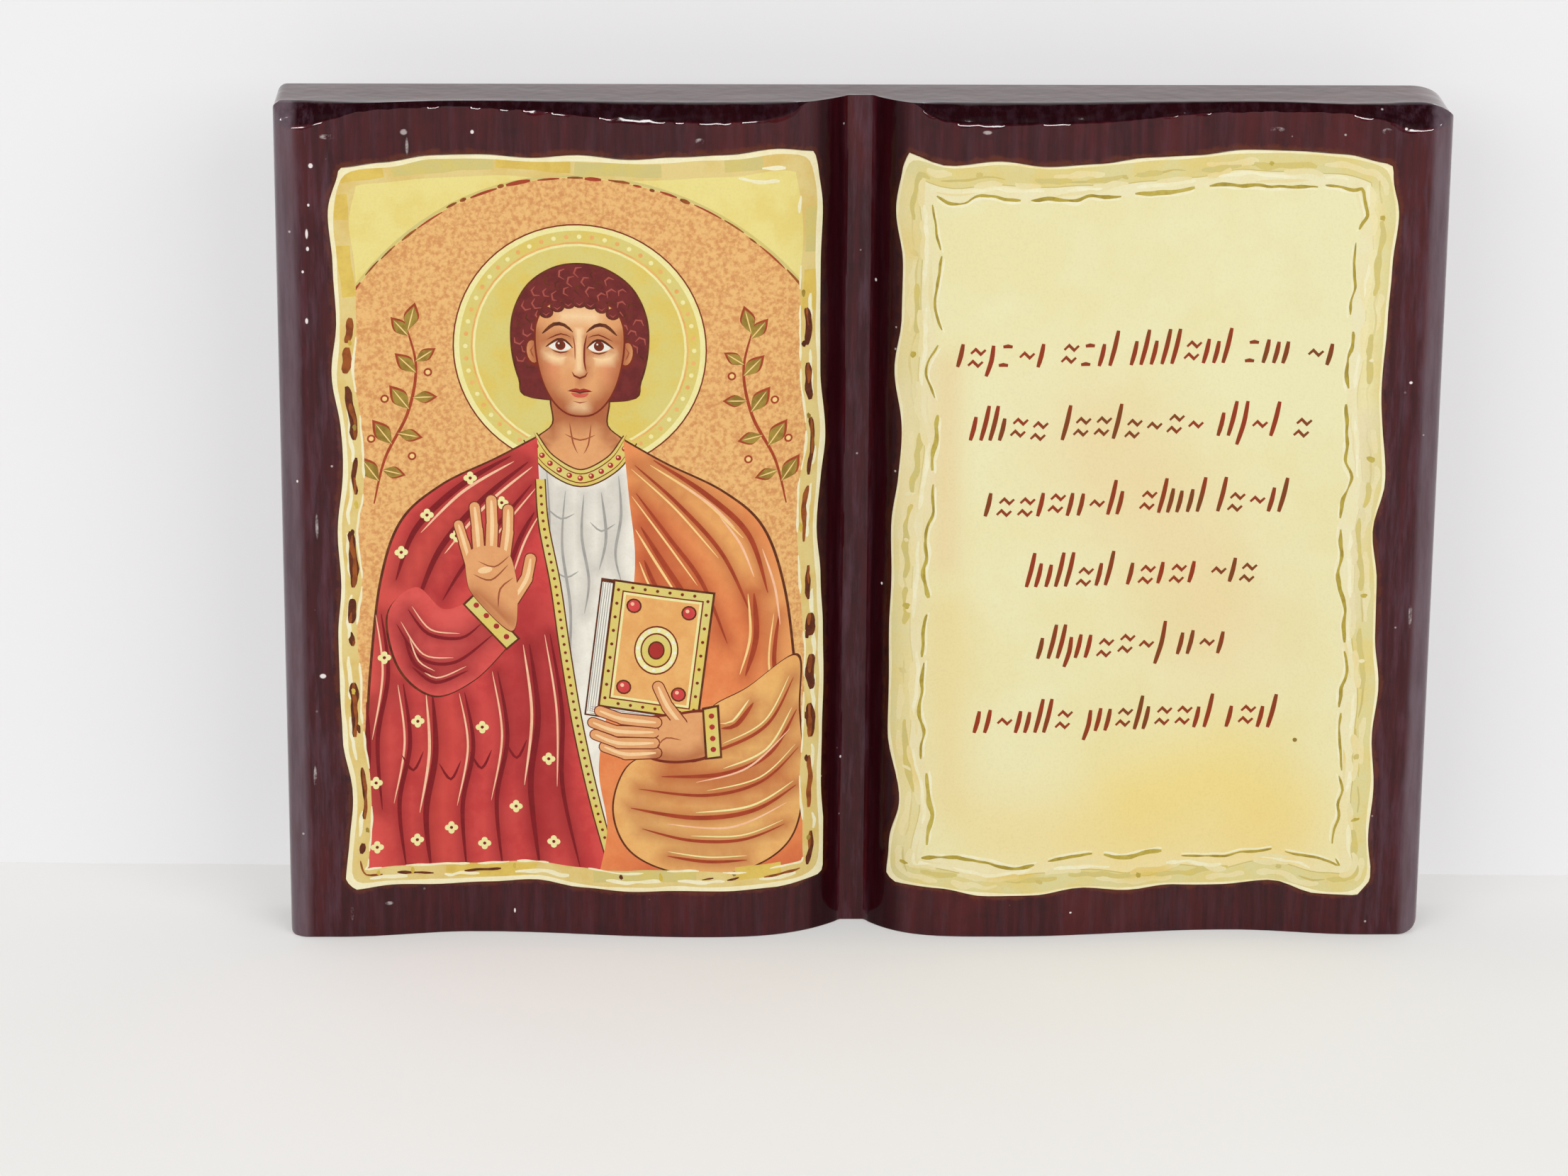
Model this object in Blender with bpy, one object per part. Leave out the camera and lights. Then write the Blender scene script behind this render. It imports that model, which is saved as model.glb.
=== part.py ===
"""A wooden icon plaque, carved as an open book, with a printed sheet glued to each page.

Lengths are in metres and +Z is up. X runs along the plaque, the pages face -Y and the
back is flat. The origin is under the middle of the plaque, on the surface it stands on.
"""
import math

import bmesh
import bpy
from mathutils import Vector

MM = 0.001

# The board: its outer size, and the thickness of the carved pages measured from the flat back
BOARD_WIDTH = 200 * MM
BOARD_HEIGHT = 150 * MM
CREST_DEPTH = 17.6 * MM
DIP_DEPTH = 14.4 * MM
SHOULDER_DEPTH = 17.0 * MM
GUTTER_DEPTH = 8.8 * MM

# Where those heights of the page lie, measured from the middle of the gutter
GUTTER_MIDDLE = -0.5 * MM
GUTTER_FLOOR_WIDTH = 4.1 * MM
CREST_DISTANCE = 27 * MM
DIP_DISTANCE = 67 * MM
SHOULDER_DISTANCE = 91 * MM

# How steeply each page rises out of the gutter: a higher power is a steeper wall
LEFT_PAGE_RISE = 3.0
RIGHT_PAGE_RISE = 4.2

# Rounded edges: the pages' outer edges, the back's upright edges and the four corners
PAGE_EDGE_ROUND = 3.5 * MM
BACK_EDGE_ROUND = 1.2 * MM
TOP_LEFT_CORNER = (1.6 * MM, 1.4 * MM)
TOP_RIGHT_CORNER = (5.7 * MM, 3.0 * MM)
BOTTOM_RIGHT_CORNER = (4.0 * MM, 2.5 * MM)
BOTTOM_LEFT_CORNER = (0.8 * MM, 0.8 * MM)

# The rolled edge carved along the top of each page: how far down it reaches, and its lean
CREST_ROLL = 3.1 * MM
DIP_ROLL = 0.9 * MM
SHOULDER_ROLL = 3.9 * MM
ROLL_START_DISTANCE = 9 * MM
ROLL_SETBACK = 0.85
ROLL_KNEE_ACROSS = 0.32
ROLL_KNEE_DOWN = 0.38
ROLL_CLEAR_OF_GUTTER = 0.3 * MM

# The printed sheets, glued to the pages
SHEET_THICKNESS = 0.3 * MM
GLUE_GAP = 0.3 * MM
SHEET_BOTTOM = 9.3 * MM
SHEET_HEIGHT = 131.4 * MM
LEFT_SHEET_MIDDLE = -48.4 * MM
LEFT_SHEET_WIDTH = 83.1 * MM
RIGHT_SHEET_MIDDLE = 48.0 * MM
RIGHT_SHEET_WIDTH = 84.2 * MM

# The torn edges of the sheets: offsets outwards from a rectangle, in tear units, at even
# steps that start at the lower left corner and run along the bottom, up the right, back
# along the top and down the left side
TEAR_UNIT = 1.0 * MM
LEFT_SHEET_TEAR = {
    "bottom": (0.2, -0.6, -0.2, -0.5, -1.1, 0.1, 0.6, 0.2, 0.3, -0.1, -1.5),
    "right": (-1.2, 1.0, 0.5, 0.6, 0.8, 0.6, 0.1, -0.7, -0.2, 0.4, -0.3, -0.4, -0.4, -0.1, -1.1),
    "top": (0.6, 1.7, 0.8, 0.4, -0.2, 0.4, -0.3, 0.2, 0.1, -0.9, -1.8),
    "left": (-1.5, 0.9, 0.2, -0.2, 0.8, -0.2, -0.2, 0.3, -0.2, 0.5, 0.4, 0.1, -1.2, -0.5, 0.1),
}
RIGHT_SHEET_TEAR = {
    "bottom": (-0.5, -0.1, 1.3, 1.2, 0.0, 0.8, -0.2, -0.5, -0.9, 1.4, 1.5),
    "right": (0.7, 0.1, 0.7, 0.0, 0.8, -0.2, -0.3, -1.4, 0.4, -0.1, -0.8, -0.4, 0.0, 0.8, -1.5),
    "top": (-1.2, 0.8, 1.1, 1.2, 0.3, 0.1, -0.8, -1.2, -0.2, -1.1, 0.9),
    "left": (-0.8, 0.4, -0.9, -0.8, 0.3, -0.8, -0.1, 0.5, 0.3, 0.6, 0.5, 0.6, -0.8, 0.4, -0.4),
}
SHEET_CORNER_ROUND = 1.6 * MM

# How finely the curves are cut into facets
PAGE_STEP = 2.6 * MM
WALL_STEP = 0.9 * MM
ARC_STEPS = 6
TEAR_STEP = 2.0 * MM
SLOPE_STEP = 0.05 * MM
WELD_DISTANCE = 0.01 * MM

# How far a cutter or a layer reaches past what it cuts
CUT_MARGIN = 5 * MM
SLAB_MARGIN = 2.5 * MM


# Worked out from the sizes above
HALF_WIDTH = BOARD_WIDTH / 2
HALF_HEIGHT = BOARD_HEIGHT / 2
OVERALL_DEPTH = CREST_DEPTH + GLUE_GAP + SHEET_THICKNESS
BACK_Y = OVERALL_DEPTH / 2
ROUND_START = HALF_WIDTH - PAGE_EDGE_ROUND


def clear_scene():
    """Remove every object, so that the script builds into an empty scene."""
    for obj in list(bpy.data.objects):
        bpy.data.objects.remove(obj, do_unlink=True)


def ease(start, end, share):
    """Half a cosine wave from start to end."""
    return start + (end - start) * (1 - math.cos(math.pi * share)) / 2


def along_page(distance, crest, dip, shoulder):
    """A value that waves from the crest through the dip to the shoulder of a page."""
    if distance <= CREST_DISTANCE:
        return crest
    if distance <= DIP_DISTANCE:
        return ease(crest, dip, (distance - CREST_DISTANCE) / (DIP_DISTANCE - CREST_DISTANCE))
    if distance <= SHOULDER_DISTANCE:
        share = (distance - DIP_DISTANCE) / (SHOULDER_DISTANCE - DIP_DISTANCE)
        return ease(dip, shoulder, share)
    return shoulder


def page_depth(x):
    """Thickness of the carved board at x, measured from its flat back."""
    distance = abs(x - GUTTER_MIDDLE)
    wall_foot = GUTTER_FLOOR_WIDTH / 2
    if distance <= wall_foot:
        return GUTTER_DEPTH
    if distance < CREST_DISTANCE:
        rise = LEFT_PAGE_RISE if x < GUTTER_MIDDLE else RIGHT_PAGE_RISE
        share = (distance - wall_foot) / (CREST_DISTANCE - wall_foot)
        return CREST_DEPTH - (CREST_DEPTH - GUTTER_DEPTH) * (1 - share) ** rise
    return along_page(distance, CREST_DEPTH, DIP_DEPTH, SHOULDER_DEPTH)


def page_point(x, lift):
    """Plan position of a point that stands off the page at x by lift, square to the page."""
    slope = (page_depth(x + SLOPE_STEP) - page_depth(x - SLOPE_STEP)) / (2 * SLOPE_STEP)
    length = math.hypot(slope, 1)
    return Vector((x - lift * slope / length, BACK_Y - page_depth(x) - lift / length))


def stations(low, high):
    """The page's facet lines from low to high, closer together on the walls of the gutter."""
    distances = [GUTTER_FLOOR_WIDTH / 2]
    while distances[-1] < HALF_WIDTH + CUT_MARGIN:
        on_wall = distances[-1] < CREST_DISTANCE / 2
        distances.append(distances[-1] + (WALL_STEP if on_wall else PAGE_STEP))
    lines = [GUTTER_MIDDLE - distance for distance in reversed(distances)]
    lines += [GUTTER_MIDDLE + distance for distance in distances]
    apart = WALL_STEP / 4
    return [low] + [x for x in lines if low + apart < x < high - apart] + [high]


def arc(middle_x, middle_y, radius_x, radius_y, start_angle):
    """A quarter turn to the left from start_angle, in degrees, as a list of points."""
    points = []
    for step in range(ARC_STEPS + 1):
        angle = math.radians(start_angle + 90 * step / ARC_STEPS)
        points.append((middle_x + radius_x * math.cos(angle), middle_y + radius_y * math.sin(angle)))
    return points


def collection(name):
    """A new collection in the scene."""
    made = bpy.data.collections.new(name)
    bpy.context.scene.collection.children.link(made)
    return made


def material(name, colour, roughness, coat=0.0):
    """A Principled material with one colour."""
    made = bpy.data.materials.new(name)
    made.use_nodes = True
    shader = made.node_tree.nodes["Principled BSDF"]
    shader.inputs["Base Color"].default_value = (*colour, 1)
    shader.inputs["Roughness"].default_value = roughness
    shader.inputs["Coat Weight"].default_value = coat
    made.diffuse_color = (*colour, 1)
    return made


def extruded(name, outline, half_thickness, upright, into):
    """A closed mesh made from a flat outline, extruded both ways from its plane.

    The outline lies in X and Y. An upright one is turned to lie in X and Z.
    """
    curve = bpy.data.curves.new(name, "CURVE")
    curve.dimensions = "2D"
    curve.fill_mode = "BOTH"
    curve.extrude = half_thickness
    spline = curve.splines.new("POLY")
    spline.points.add(len(outline) - 1)
    for point, place in zip(spline.points, outline):
        point.co = (place[0], place[1], 0, 1)
    spline.use_cyclic_u = True
    drawn = bpy.data.objects.new(name, curve)
    into.objects.link(drawn)
    if upright:
        drawn.rotation_euler.x = math.pi / 2
    bpy.context.view_layer.update()

    mesh = bpy.data.meshes.new_from_object(drawn.evaluated_get(bpy.context.evaluated_depsgraph_get()))
    place = drawn.matrix_world.copy()
    bpy.data.objects.remove(drawn, do_unlink=True)
    shape = bmesh.new()
    shape.from_mesh(mesh)
    bmesh.ops.remove_doubles(shape, verts=shape.verts, dist=WELD_DISTANCE)
    bmesh.ops.recalc_face_normals(shape, faces=shape.faces)
    shape.to_mesh(mesh)
    shape.free()
    mesh.name = name
    solid = bpy.data.objects.new(name, mesh)
    solid.matrix_world = place
    into.objects.link(solid)
    return solid


def lofted(name, sections, into):
    """A closed mesh through a row of like sections, with a flat face at each end."""
    shape = bmesh.new()
    rings = []
    for section in sections:
        rings.append([shape.verts.new(point) for point in section])
    for ring, following in zip(rings, rings[1:]):
        for index in range(len(ring)):
            beside = (index + 1) % len(ring)
            shape.faces.new((ring[index], ring[beside], following[beside], following[index]))
    shape.faces.new(reversed(rings[0]))
    shape.faces.new(rings[-1])
    bmesh.ops.triangulate(shape, faces=shape.faces)
    bmesh.ops.recalc_face_normals(shape, faces=shape.faces)
    mesh = bpy.data.meshes.new(name)
    shape.to_mesh(mesh)
    shape.free()
    solid = bpy.data.objects.new(name, mesh)
    into.objects.link(solid)
    return solid


def combine(target, operation, tool):
    """A Boolean modifier on target, with tool as a hidden cutter."""
    tool.hide_render = True
    tool.display_type = "WIRE"
    modifier = target.modifiers.new(tool.name, "BOOLEAN")
    modifier.operation = operation
    modifier.solver = "EXACT"
    modifier.object = tool


def book_plan():
    """The open book seen from above: wavy pages in front, a flat back with rounded edges."""
    outline = []
    left_depth = page_depth(-ROUND_START)
    right_depth = page_depth(ROUND_START)
    left_middle_y = BACK_Y - left_depth + PAGE_EDGE_ROUND
    right_middle_y = BACK_Y - right_depth + PAGE_EDGE_ROUND
    outline += arc(-ROUND_START, left_middle_y, PAGE_EDGE_ROUND, PAGE_EDGE_ROUND, 180)
    for x in stations(-ROUND_START, ROUND_START)[1:-1]:
        outline.append(tuple(page_point(x, 0)))
    outline += arc(ROUND_START, right_middle_y, PAGE_EDGE_ROUND, PAGE_EDGE_ROUND, 270)
    back_x = HALF_WIDTH - BACK_EDGE_ROUND
    back_y = BACK_Y - BACK_EDGE_ROUND
    outline += arc(back_x, back_y, BACK_EDGE_ROUND, BACK_EDGE_ROUND, 0)
    outline += arc(-back_x, back_y, BACK_EDGE_ROUND, BACK_EDGE_ROUND, 90)
    return outline


def front_outline():
    """The board seen from the front, with four unlike worn corners.

    Between the corners the outline stands clear of the sides, which the plan has shaped.
    """
    clear_x = HALF_WIDTH + CUT_MARGIN
    corners = (
        (1, 0, BOTTOM_RIGHT_CORNER, 270),
        (1, BOARD_HEIGHT, TOP_RIGHT_CORNER, 0),
        (-1, BOARD_HEIGHT, TOP_LEFT_CORNER, 90),
        (-1, 0, BOTTOM_LEFT_CORNER, 180),
    )
    outline = []
    for side, corner_z, (across, up), start_angle in corners:
        middle_x = side * (HALF_WIDTH - across)
        middle_z = corner_z - up if corner_z else up
        rounded = arc(middle_x, middle_z, across, up, start_angle)
        beside = [(side * clear_x, middle_z)]
        from_side = start_angle in (0, 180)
        outline += beside + rounded if from_side else rounded + beside
    return outline


def roll_height(distance):
    """How far down the rolled top edge reaches; in the gutter it stays above the top."""
    if distance >= CREST_DISTANCE:
        return along_page(distance, CREST_ROLL, DIP_ROLL, SHOULDER_ROLL)
    if distance <= ROLL_START_DISTANCE:
        return -ROLL_CLEAR_OF_GUTTER
    share = (distance - ROLL_START_DISTANCE) / (CREST_DISTANCE - ROLL_START_DISTANCE)
    return (CREST_ROLL + ROLL_CLEAR_OF_GUTTER) * math.sin(math.pi * share / 2) - ROLL_CLEAR_OF_GUTTER


def roll_section(x):
    """Section of the waste that is carved away along the top edge, at x."""
    height = roll_height(abs(x - GUTTER_MIDDLE))
    setback = height * ROLL_SETBACK
    face_y = BACK_Y - page_depth(min(max(x, -ROUND_START), ROUND_START))
    start = Vector((x, face_y + setback, BOARD_HEIGHT))
    knee = Vector((x, face_y + setback * ROLL_KNEE_ACROSS, BOARD_HEIGHT - height * ROLL_KNEE_DOWN))
    end = Vector((x, face_y, BOARD_HEIGHT - height))
    upper_slope = Vector((0, 1 - ROLL_KNEE_ACROSS, ROLL_KNEE_DOWN / ROLL_SETBACK)).normalized()
    lower_slope = Vector((0, -ROLL_KNEE_ACROSS, (ROLL_KNEE_DOWN - 1) / ROLL_SETBACK)).normalized()
    above = start + upper_slope * CUT_MARGIN
    below = end + lower_slope * CUT_MARGIN
    front_y = face_y - 2 * CUT_MARGIN
    return (above, knee, below, Vector((x, front_y, below.z)), Vector((x, front_y, above.z)))


def tear_offset(offsets, share):
    """Outward offset of a torn edge, eased between its values at even steps."""
    place = share * (len(offsets) - 1)
    index = min(int(place), len(offsets) - 2)
    return ease(offsets[index], offsets[index + 1], place - index) * TEAR_UNIT


def torn_outline(middle_x, width, tear):
    """Outline of a sheet seen from the front, with softly torn edges and round corners."""
    left = middle_x - width / 2
    right = middle_x + width / 2
    bottom = SHEET_BOTTOM
    top = SHEET_BOTTOM + SHEET_HEIGHT
    sides = (
        ("bottom", Vector((left, bottom)), Vector((right, bottom)), Vector((0, -1))),
        ("right", Vector((right, bottom)), Vector((right, top)), Vector((1, 0))),
        ("top", Vector((right, top)), Vector((left, top)), Vector((0, 1))),
        ("left", Vector((left, top)), Vector((left, bottom)), Vector((-1, 0))),
    )
    outline = []
    for name, start, end, outwards in sides:
        length = (end - start).length
        inset = SHEET_CORNER_ROUND / length
        count = round(length / TEAR_STEP)
        for step in range(count + 1):
            share = inset + (1 - 2 * inset) * step / count
            outline.append(start.lerp(end, share) + outwards * tear_offset(tear[name], share))
    return outline


def page_slab(x_low, x_high):
    """Plan of a thin layer that follows the page, with the glue's gap behind it."""
    along = stations(x_low, x_high)
    front = [tuple(page_point(x, GLUE_GAP + SHEET_THICKNESS)) for x in along]
    back = [tuple(page_point(x, GLUE_GAP)) for x in reversed(along)]
    return front + back


def make_board(parts, cutters):
    """The board: the book's plan, cut to its front outline, with its top edge rolled."""
    board = extruded("book_board", book_plan(), HALF_HEIGHT + CUT_MARGIN, False, parts)
    board.location.z = HALF_HEIGHT
    front = extruded("board_outline", front_outline(), OVERALL_DEPTH, True, cutters)
    combine(board, "INTERSECT", front)
    reach = HALF_WIDTH + CUT_MARGIN
    sections = [roll_section(x) for x in stations(-reach, reach)]
    combine(board, "DIFFERENCE", lofted("top_roll", sections, cutters))
    board.data.materials.append(material("stained_wood", (0.085, 0.028, 0.024), 0.38, coat=0.6))
    return board


def make_sheet(name, middle_x, width, tear, colour, parts, cutters):
    """A printed sheet: a layer that follows the page, cut to its torn outline."""
    reach = width / 2 + SLAB_MARGIN
    slab = page_slab(middle_x - reach, middle_x + reach)
    sheet = extruded(name, slab, HALF_HEIGHT, False, parts)
    sheet.location.z = HALF_HEIGHT
    outline = torn_outline(middle_x, width, tear)
    combine(sheet, "INTERSECT", extruded(name + "_outline", outline, OVERALL_DEPTH, True, cutters))
    sheet.data.materials.append(material(name + "_print", colour, 0.5))
    return sheet


def main():
    clear_scene()
    parts = collection("icon_plaque")
    cutters = collection("cutters")
    make_board(parts, cutters)
    make_sheet("icon_sheet", LEFT_SHEET_MIDDLE, LEFT_SHEET_WIDTH, LEFT_SHEET_TEAR,
               (0.68, 0.36, 0.14), parts, cutters)
    make_sheet("text_sheet", RIGHT_SHEET_MIDDLE, RIGHT_SHEET_WIDTH, RIGHT_SHEET_TEAR,
               (0.83, 0.74, 0.42), parts, cutters)


main()
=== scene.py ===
import math
import random

import bpy
import numpy as np
from mathutils import Matrix, Vector, noise
from mathutils.geometry import delaunay_2d_cdt


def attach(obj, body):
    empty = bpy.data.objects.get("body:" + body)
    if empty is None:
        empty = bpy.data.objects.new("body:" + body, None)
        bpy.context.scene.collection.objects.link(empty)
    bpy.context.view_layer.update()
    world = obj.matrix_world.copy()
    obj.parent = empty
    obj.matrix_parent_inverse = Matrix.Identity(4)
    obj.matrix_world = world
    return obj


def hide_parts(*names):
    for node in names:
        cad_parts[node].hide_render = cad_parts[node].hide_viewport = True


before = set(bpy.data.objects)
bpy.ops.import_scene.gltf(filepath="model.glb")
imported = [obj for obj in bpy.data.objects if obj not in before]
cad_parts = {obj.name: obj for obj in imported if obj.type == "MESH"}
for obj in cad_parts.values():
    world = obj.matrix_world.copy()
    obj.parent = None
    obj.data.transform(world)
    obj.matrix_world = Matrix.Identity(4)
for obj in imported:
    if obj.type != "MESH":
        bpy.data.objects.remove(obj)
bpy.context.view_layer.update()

MM = 0.001
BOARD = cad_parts["book_board"]
HALF_WIDTH = 100.0
HEIGHT = 150.0
BACK_Y = 9.1
EDGE_ROUND = 3.5
BACK_ROUND = 1.2
GUTTER_X = -0.5
# How far each worn corner reaches across and up: top left, top right, bottom right, bottom left.
CORNERS = ((-1, 1, 1.6, 1.4), (1, 1, 5.7, 3.0), (1, -1, 4.0, 2.5), (-1, -1, 0.8, 0.8))
# Height of the carved ridge along the top of the pages, from left to right.
RIDGE = (
    (-100, 145.3), (-94.4, 145.8), (-84, 148.2), (-73, 148.6), (-56.5, 148.0), (-44.5, 147.1),
    (-26.5, 146.4), (-16.5, 146.9), (-12, 148.0), (-9, 150.0), (7.5, 150.0), (10, 148.2), (14, 146.6),
    (21.5, 146.2), (39.5, 146.5), (62, 147.8), (81, 148.0), (87, 147.1), (93.5, 145.3), (100, 146.0),
)
# Stretches of the ridge, along x, that catch the light.
GLINTS = (
    (-98, -94), (-84, -81.6), (-73.8, -72), (-66.8, -65.8), (-57.5, -50), (-44.3, -39.7), (-39, -35.5),
    (-16, -10.5), (10, 13.2), (14.5, 22.8), (57, 60), (83.4, 85.3), (90.4, 93), (94, 95.4), (98, 99.4),
)
RIDGE_X, RIDGE_Z = (np.array(values, float) for values in zip(*RIDGE))
ROLL_SETBACK = 0.66
LIP = 0.42
# What each row of a board section lies on. The rows of the rolled edge count from 0 to 1.
FACE, LIP_MARK, TOP, BACK, UNDERSIDE = -1.0, 0.011, 2.0, 3.0, 4.0
FACE_ROWS, ROLL_ROWS, TOP_ROWS, BACK_ROWS, UNDERSIDE_ROWS = 150, 13, 10, 20, 6
PAGE_STEP = 0.8
GUTTER_STEP = 0.45
GUTTER_REACH = 12
# Where the wood's painted sheen and painted shade change, counted along x from the middle of the board or of
# the gutter: painted mauve sheen towards the outer edges and over the middle of the gutter, a paler painted
# sheen on the rounded outer edges, and painted shade on the gutter walls.
OUTER_SHEEN = (84, 93)
OUTER_EDGE_SHEEN = (95.8, 97.2)
GUTTER_SHEEN = (3.6, 2.2)
WALL_FOOT = (2.2, 3.2)
WALL_CREST = (9.5, 6.0)
# How far the two faces of the paper stand off the page, and the middle of the CAD sheet.
PAPER_FRONT = 0.5
PAPER_BACK = 0.06
CAD_SHEET_LIFT = 0.45
# Middle of each sheet along x.
ICON_MIDDLE = -48.4
TEXT_MIDDLE = 48.0


def rgb(red, green, blue):
    """Linear colour from screen values of 0 to 255."""
    shares = (red / 255, green / 255, blue / 255)
    return tuple(s / 12.92 if s <= 0.04045 else ((s + 0.055) / 1.055) ** 2.4 for s in shares)


def smooth_line(xs, ys, at):
    """A curve through the points that never overshoots them, read at every value of at."""
    steps = np.diff(xs)
    slopes = np.diff(ys) / steps
    tangents = np.zeros(len(xs))
    product = slopes[:-1] * slopes[1:]
    total = np.where(product > 0, slopes[:-1] + slopes[1:], 1.0)
    tangents[1:-1] = np.where(product > 0, 2 * product / total, 0.0)
    place = np.clip(np.searchsorted(xs, at, side="right") - 1, 0, len(steps) - 1)
    step = steps[place]
    t = np.clip((at - xs[place]) / step, 0, 1)
    rise = (1 + 2 * t) * (1 - t) ** 2 * ys[place] + t * t * (3 - 2 * t) * ys[place + 1]
    lean = t * (1 - t) ** 2 * tangents[place] - t * t * (1 - t) * tangents[place + 1]
    return rise + step * lean


def smoothstep(low, high, value):
    """Rises from 0 at low to 1 at high, or falls where low is above high."""
    t = np.clip((value - low) / (high - low), 0, 1)
    return t * t * (3 - 2 * t)


def foot_profile():
    """The wavy page line of the CAD board at its foot, as arrays of x and y in mm."""
    foot = {}
    for vertex in BOARD.data.vertices:
        x, y, z = vertex.co / MM
        if z < 30 and y < BACK_Y - 5 and abs(x) <= HALF_WIDTH - EDGE_ROUND + 0.01:
            foot[round(x, 2)] = y
    xs = sorted(foot)
    return np.array(xs), np.array([foot[x] for x in xs])


FOOT_X, FOOT_Y = foot_profile()


def page_y(x):
    """Front surface of the pages before carving, with the rounded outer edges."""
    x = np.asarray(x, float)
    beyond = np.clip(np.abs(x) - (HALF_WIDTH - EDGE_ROUND), 0, EDGE_ROUND) / EDGE_ROUND
    return smooth_line(FOOT_X, FOOT_Y, x) + EDGE_ROUND * (1 - np.sqrt(1 - beyond**2))


def page_lift(x, lift):
    """Points a little in front of the page at x, measured square to it."""
    reach = 0.2
    slope = (page_y(x + reach) - page_y(x - reach)) / (2 * reach)
    long = np.sqrt(1 + slope**2)
    return page_y(x) - lift * long


def waves(x, z, across, up, seed):
    """Smooth noise from -1 to 1 whose waves are about that wide and high, in mm."""
    return noise.noise(Vector((x / across, z / up, seed)))


def corner_cut(x, above):
    """How much the worn corners take off the top or the foot of the board at x."""
    cut = 0.0
    for side, upper, across, up in CORNERS:
        inside = side * x - (HALF_WIDTH - across)
        if (upper > 0) == above and inside > 0:
            cut += up * (1 - math.sqrt(max(0.0, 1 - (inside / across) ** 2)))
    return cut


def nearest_square(points, starts, ends):
    """Squared distance from each point to the nearest of the stretches from starts to ends."""
    best = np.full(len(points), 1e9)
    for a, b in zip(starts, ends):
        along = b - a
        share = np.clip(((points - a) @ along) / max(along @ along, 1e-9), 0, 1)
        gap = points - a - share[:, None] * along
        best = np.minimum(best, np.einsum("ij,ij->i", gap, gap))
    return best


def nearest_distance(points, outline):
    """Distance from each point to a closed outline, in mm."""
    starts = np.array(outline)
    return np.sqrt(nearest_square(points, starts, np.roll(starts, -1, axis=0)))


def inside(points, outline):
    """Which points lie in a closed outline that may cross itself."""
    turns = np.zeros(len(points), int)
    px, pz = points[:, 0], points[:, 1]
    corners = list(outline)
    for (ax, az), (bx, bz) in zip(corners, corners[1:] + corners[:1]):
        side = (bx - ax) * (pz - az) - (px - ax) * (bz - az)
        turns += ((az <= pz) & (bz > pz) & (side > 0)).astype(int)
        turns -= ((az > pz) & (bz <= pz) & (side < 0)).astype(int)
    return turns != 0


def new_mesh_object(name, vertices, faces):
    mesh = bpy.data.meshes.new(name)
    mesh.from_pydata(vertices, [], faces)
    mesh.update()
    made = bpy.data.objects.new(name, mesh)
    bpy.context.scene.collection.objects.link(made)
    return made


# Sheets: outlines

def sheet_outline(node):
    """Front outline of a CAD sheet, as points (x, z) in mm, counterclockwise."""
    corners = {}
    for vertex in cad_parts[node].data.vertices:
        x, y, z = vertex.co / MM
        if y < page_lift(np.array([x]), CAD_SHEET_LIFT)[0]:
            corners[(round(x, 2), round(z, 2))] = True
    points = np.array(list(corners))
    middle = (points.min(0) + points.max(0)) / 2
    angles = np.arctan2(points[:, 1] - middle[1], points[:, 0] - middle[0])
    return [tuple(point) for point in points[np.argsort(angles)]]


def resampled(points, step, closed=True):
    """The same line with its corners at even steps."""
    line = np.array(list(points) + ([points[0]] if closed else []), float)
    lengths = np.concatenate(([0], np.cumsum(np.hypot(*np.diff(line, axis=0).T))))
    count = max(2, round(lengths[-1] / step))
    at = np.linspace(0, lengths[-1], count + 1)
    xs, zs = np.interp(at, lengths, line[:, 0]), np.interp(at, lengths, line[:, 1])
    made = list(zip(xs.tolist(), zs.tolist()))
    return made[:-1] if closed else made


def inset(outline, distance, wobble=0.0, wave=9.0, seed=0.0):
    """A closed outline moved inwards and softened, by an uneven distance if wobble is set."""
    line = np.array(resampled(outline, 1.5))
    for _ in range(3):
        line = (np.roll(line, 1, axis=0) + 2 * line + np.roll(line, -1, axis=0)) / 4
    ahead = np.roll(line, -1, axis=0) - np.roll(line, 1, axis=0)
    ahead /= np.hypot(ahead[:, 0], ahead[:, 1])[:, None]
    inward = np.stack((-ahead[:, 1], ahead[:, 0]), axis=1)
    reach = np.array([distance + wobble * waves(x, z, wave, wave, seed) for x, z in line])
    moved = line + inward * reach[:, None]
    clear = nearest_distance(moved, outline) > reach * 0.9 - 0.15
    return [tuple(point) for point in moved[clear]]


def nudged(outline, nudges):
    """The outline with small moves near chosen places, kept within its own width and height."""
    line = np.array(resampled(outline, 1.0))
    moved = line.copy()
    for x, z, across, up, reach in nudges:
        share = np.exp(-((line - (x, z)) ** 2).sum(1) / reach**2)
        moved += share[:, None] * (across, up)
    moved = np.clip(moved, line.min(0), line.max(0))
    return [tuple(point) for point in moved]


# Places where the torn edge is moved: x, z, move across and up, and how far the move reaches.
ICON_NUDGES = (
    (-90.2, 141.9, -1.2, 0.6, 2.5), (-88.8, 88, 0.7, 0, 8), (-88, 23, 0.5, 0, 6), (-6.2, 89, 0.5, 0, 5),
    (-8.5, 12, 1.8, -0.3, 5),
)
TEXT_NUDGES = (
    (89.4, 140, 0.9, 0.3, 3), (5.6, 87, 0.6, 0, 7), (5.4, 23.4, 1.2, 0, 5), (5.8, 11, -0.8, -0.3, 3),
    (64, 10.5, 0, -0.8, 8), (88, 12, 0.5, 0, 4), (89, 96.3, -0.5, 0, 5),
)
ICON_OUTLINE = nudged(sheet_outline("icon_sheet"), ICON_NUDGES)
TEXT_OUTLINE = nudged(sheet_outline("text_sheet"), TEXT_NUDGES)


# Board

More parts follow.
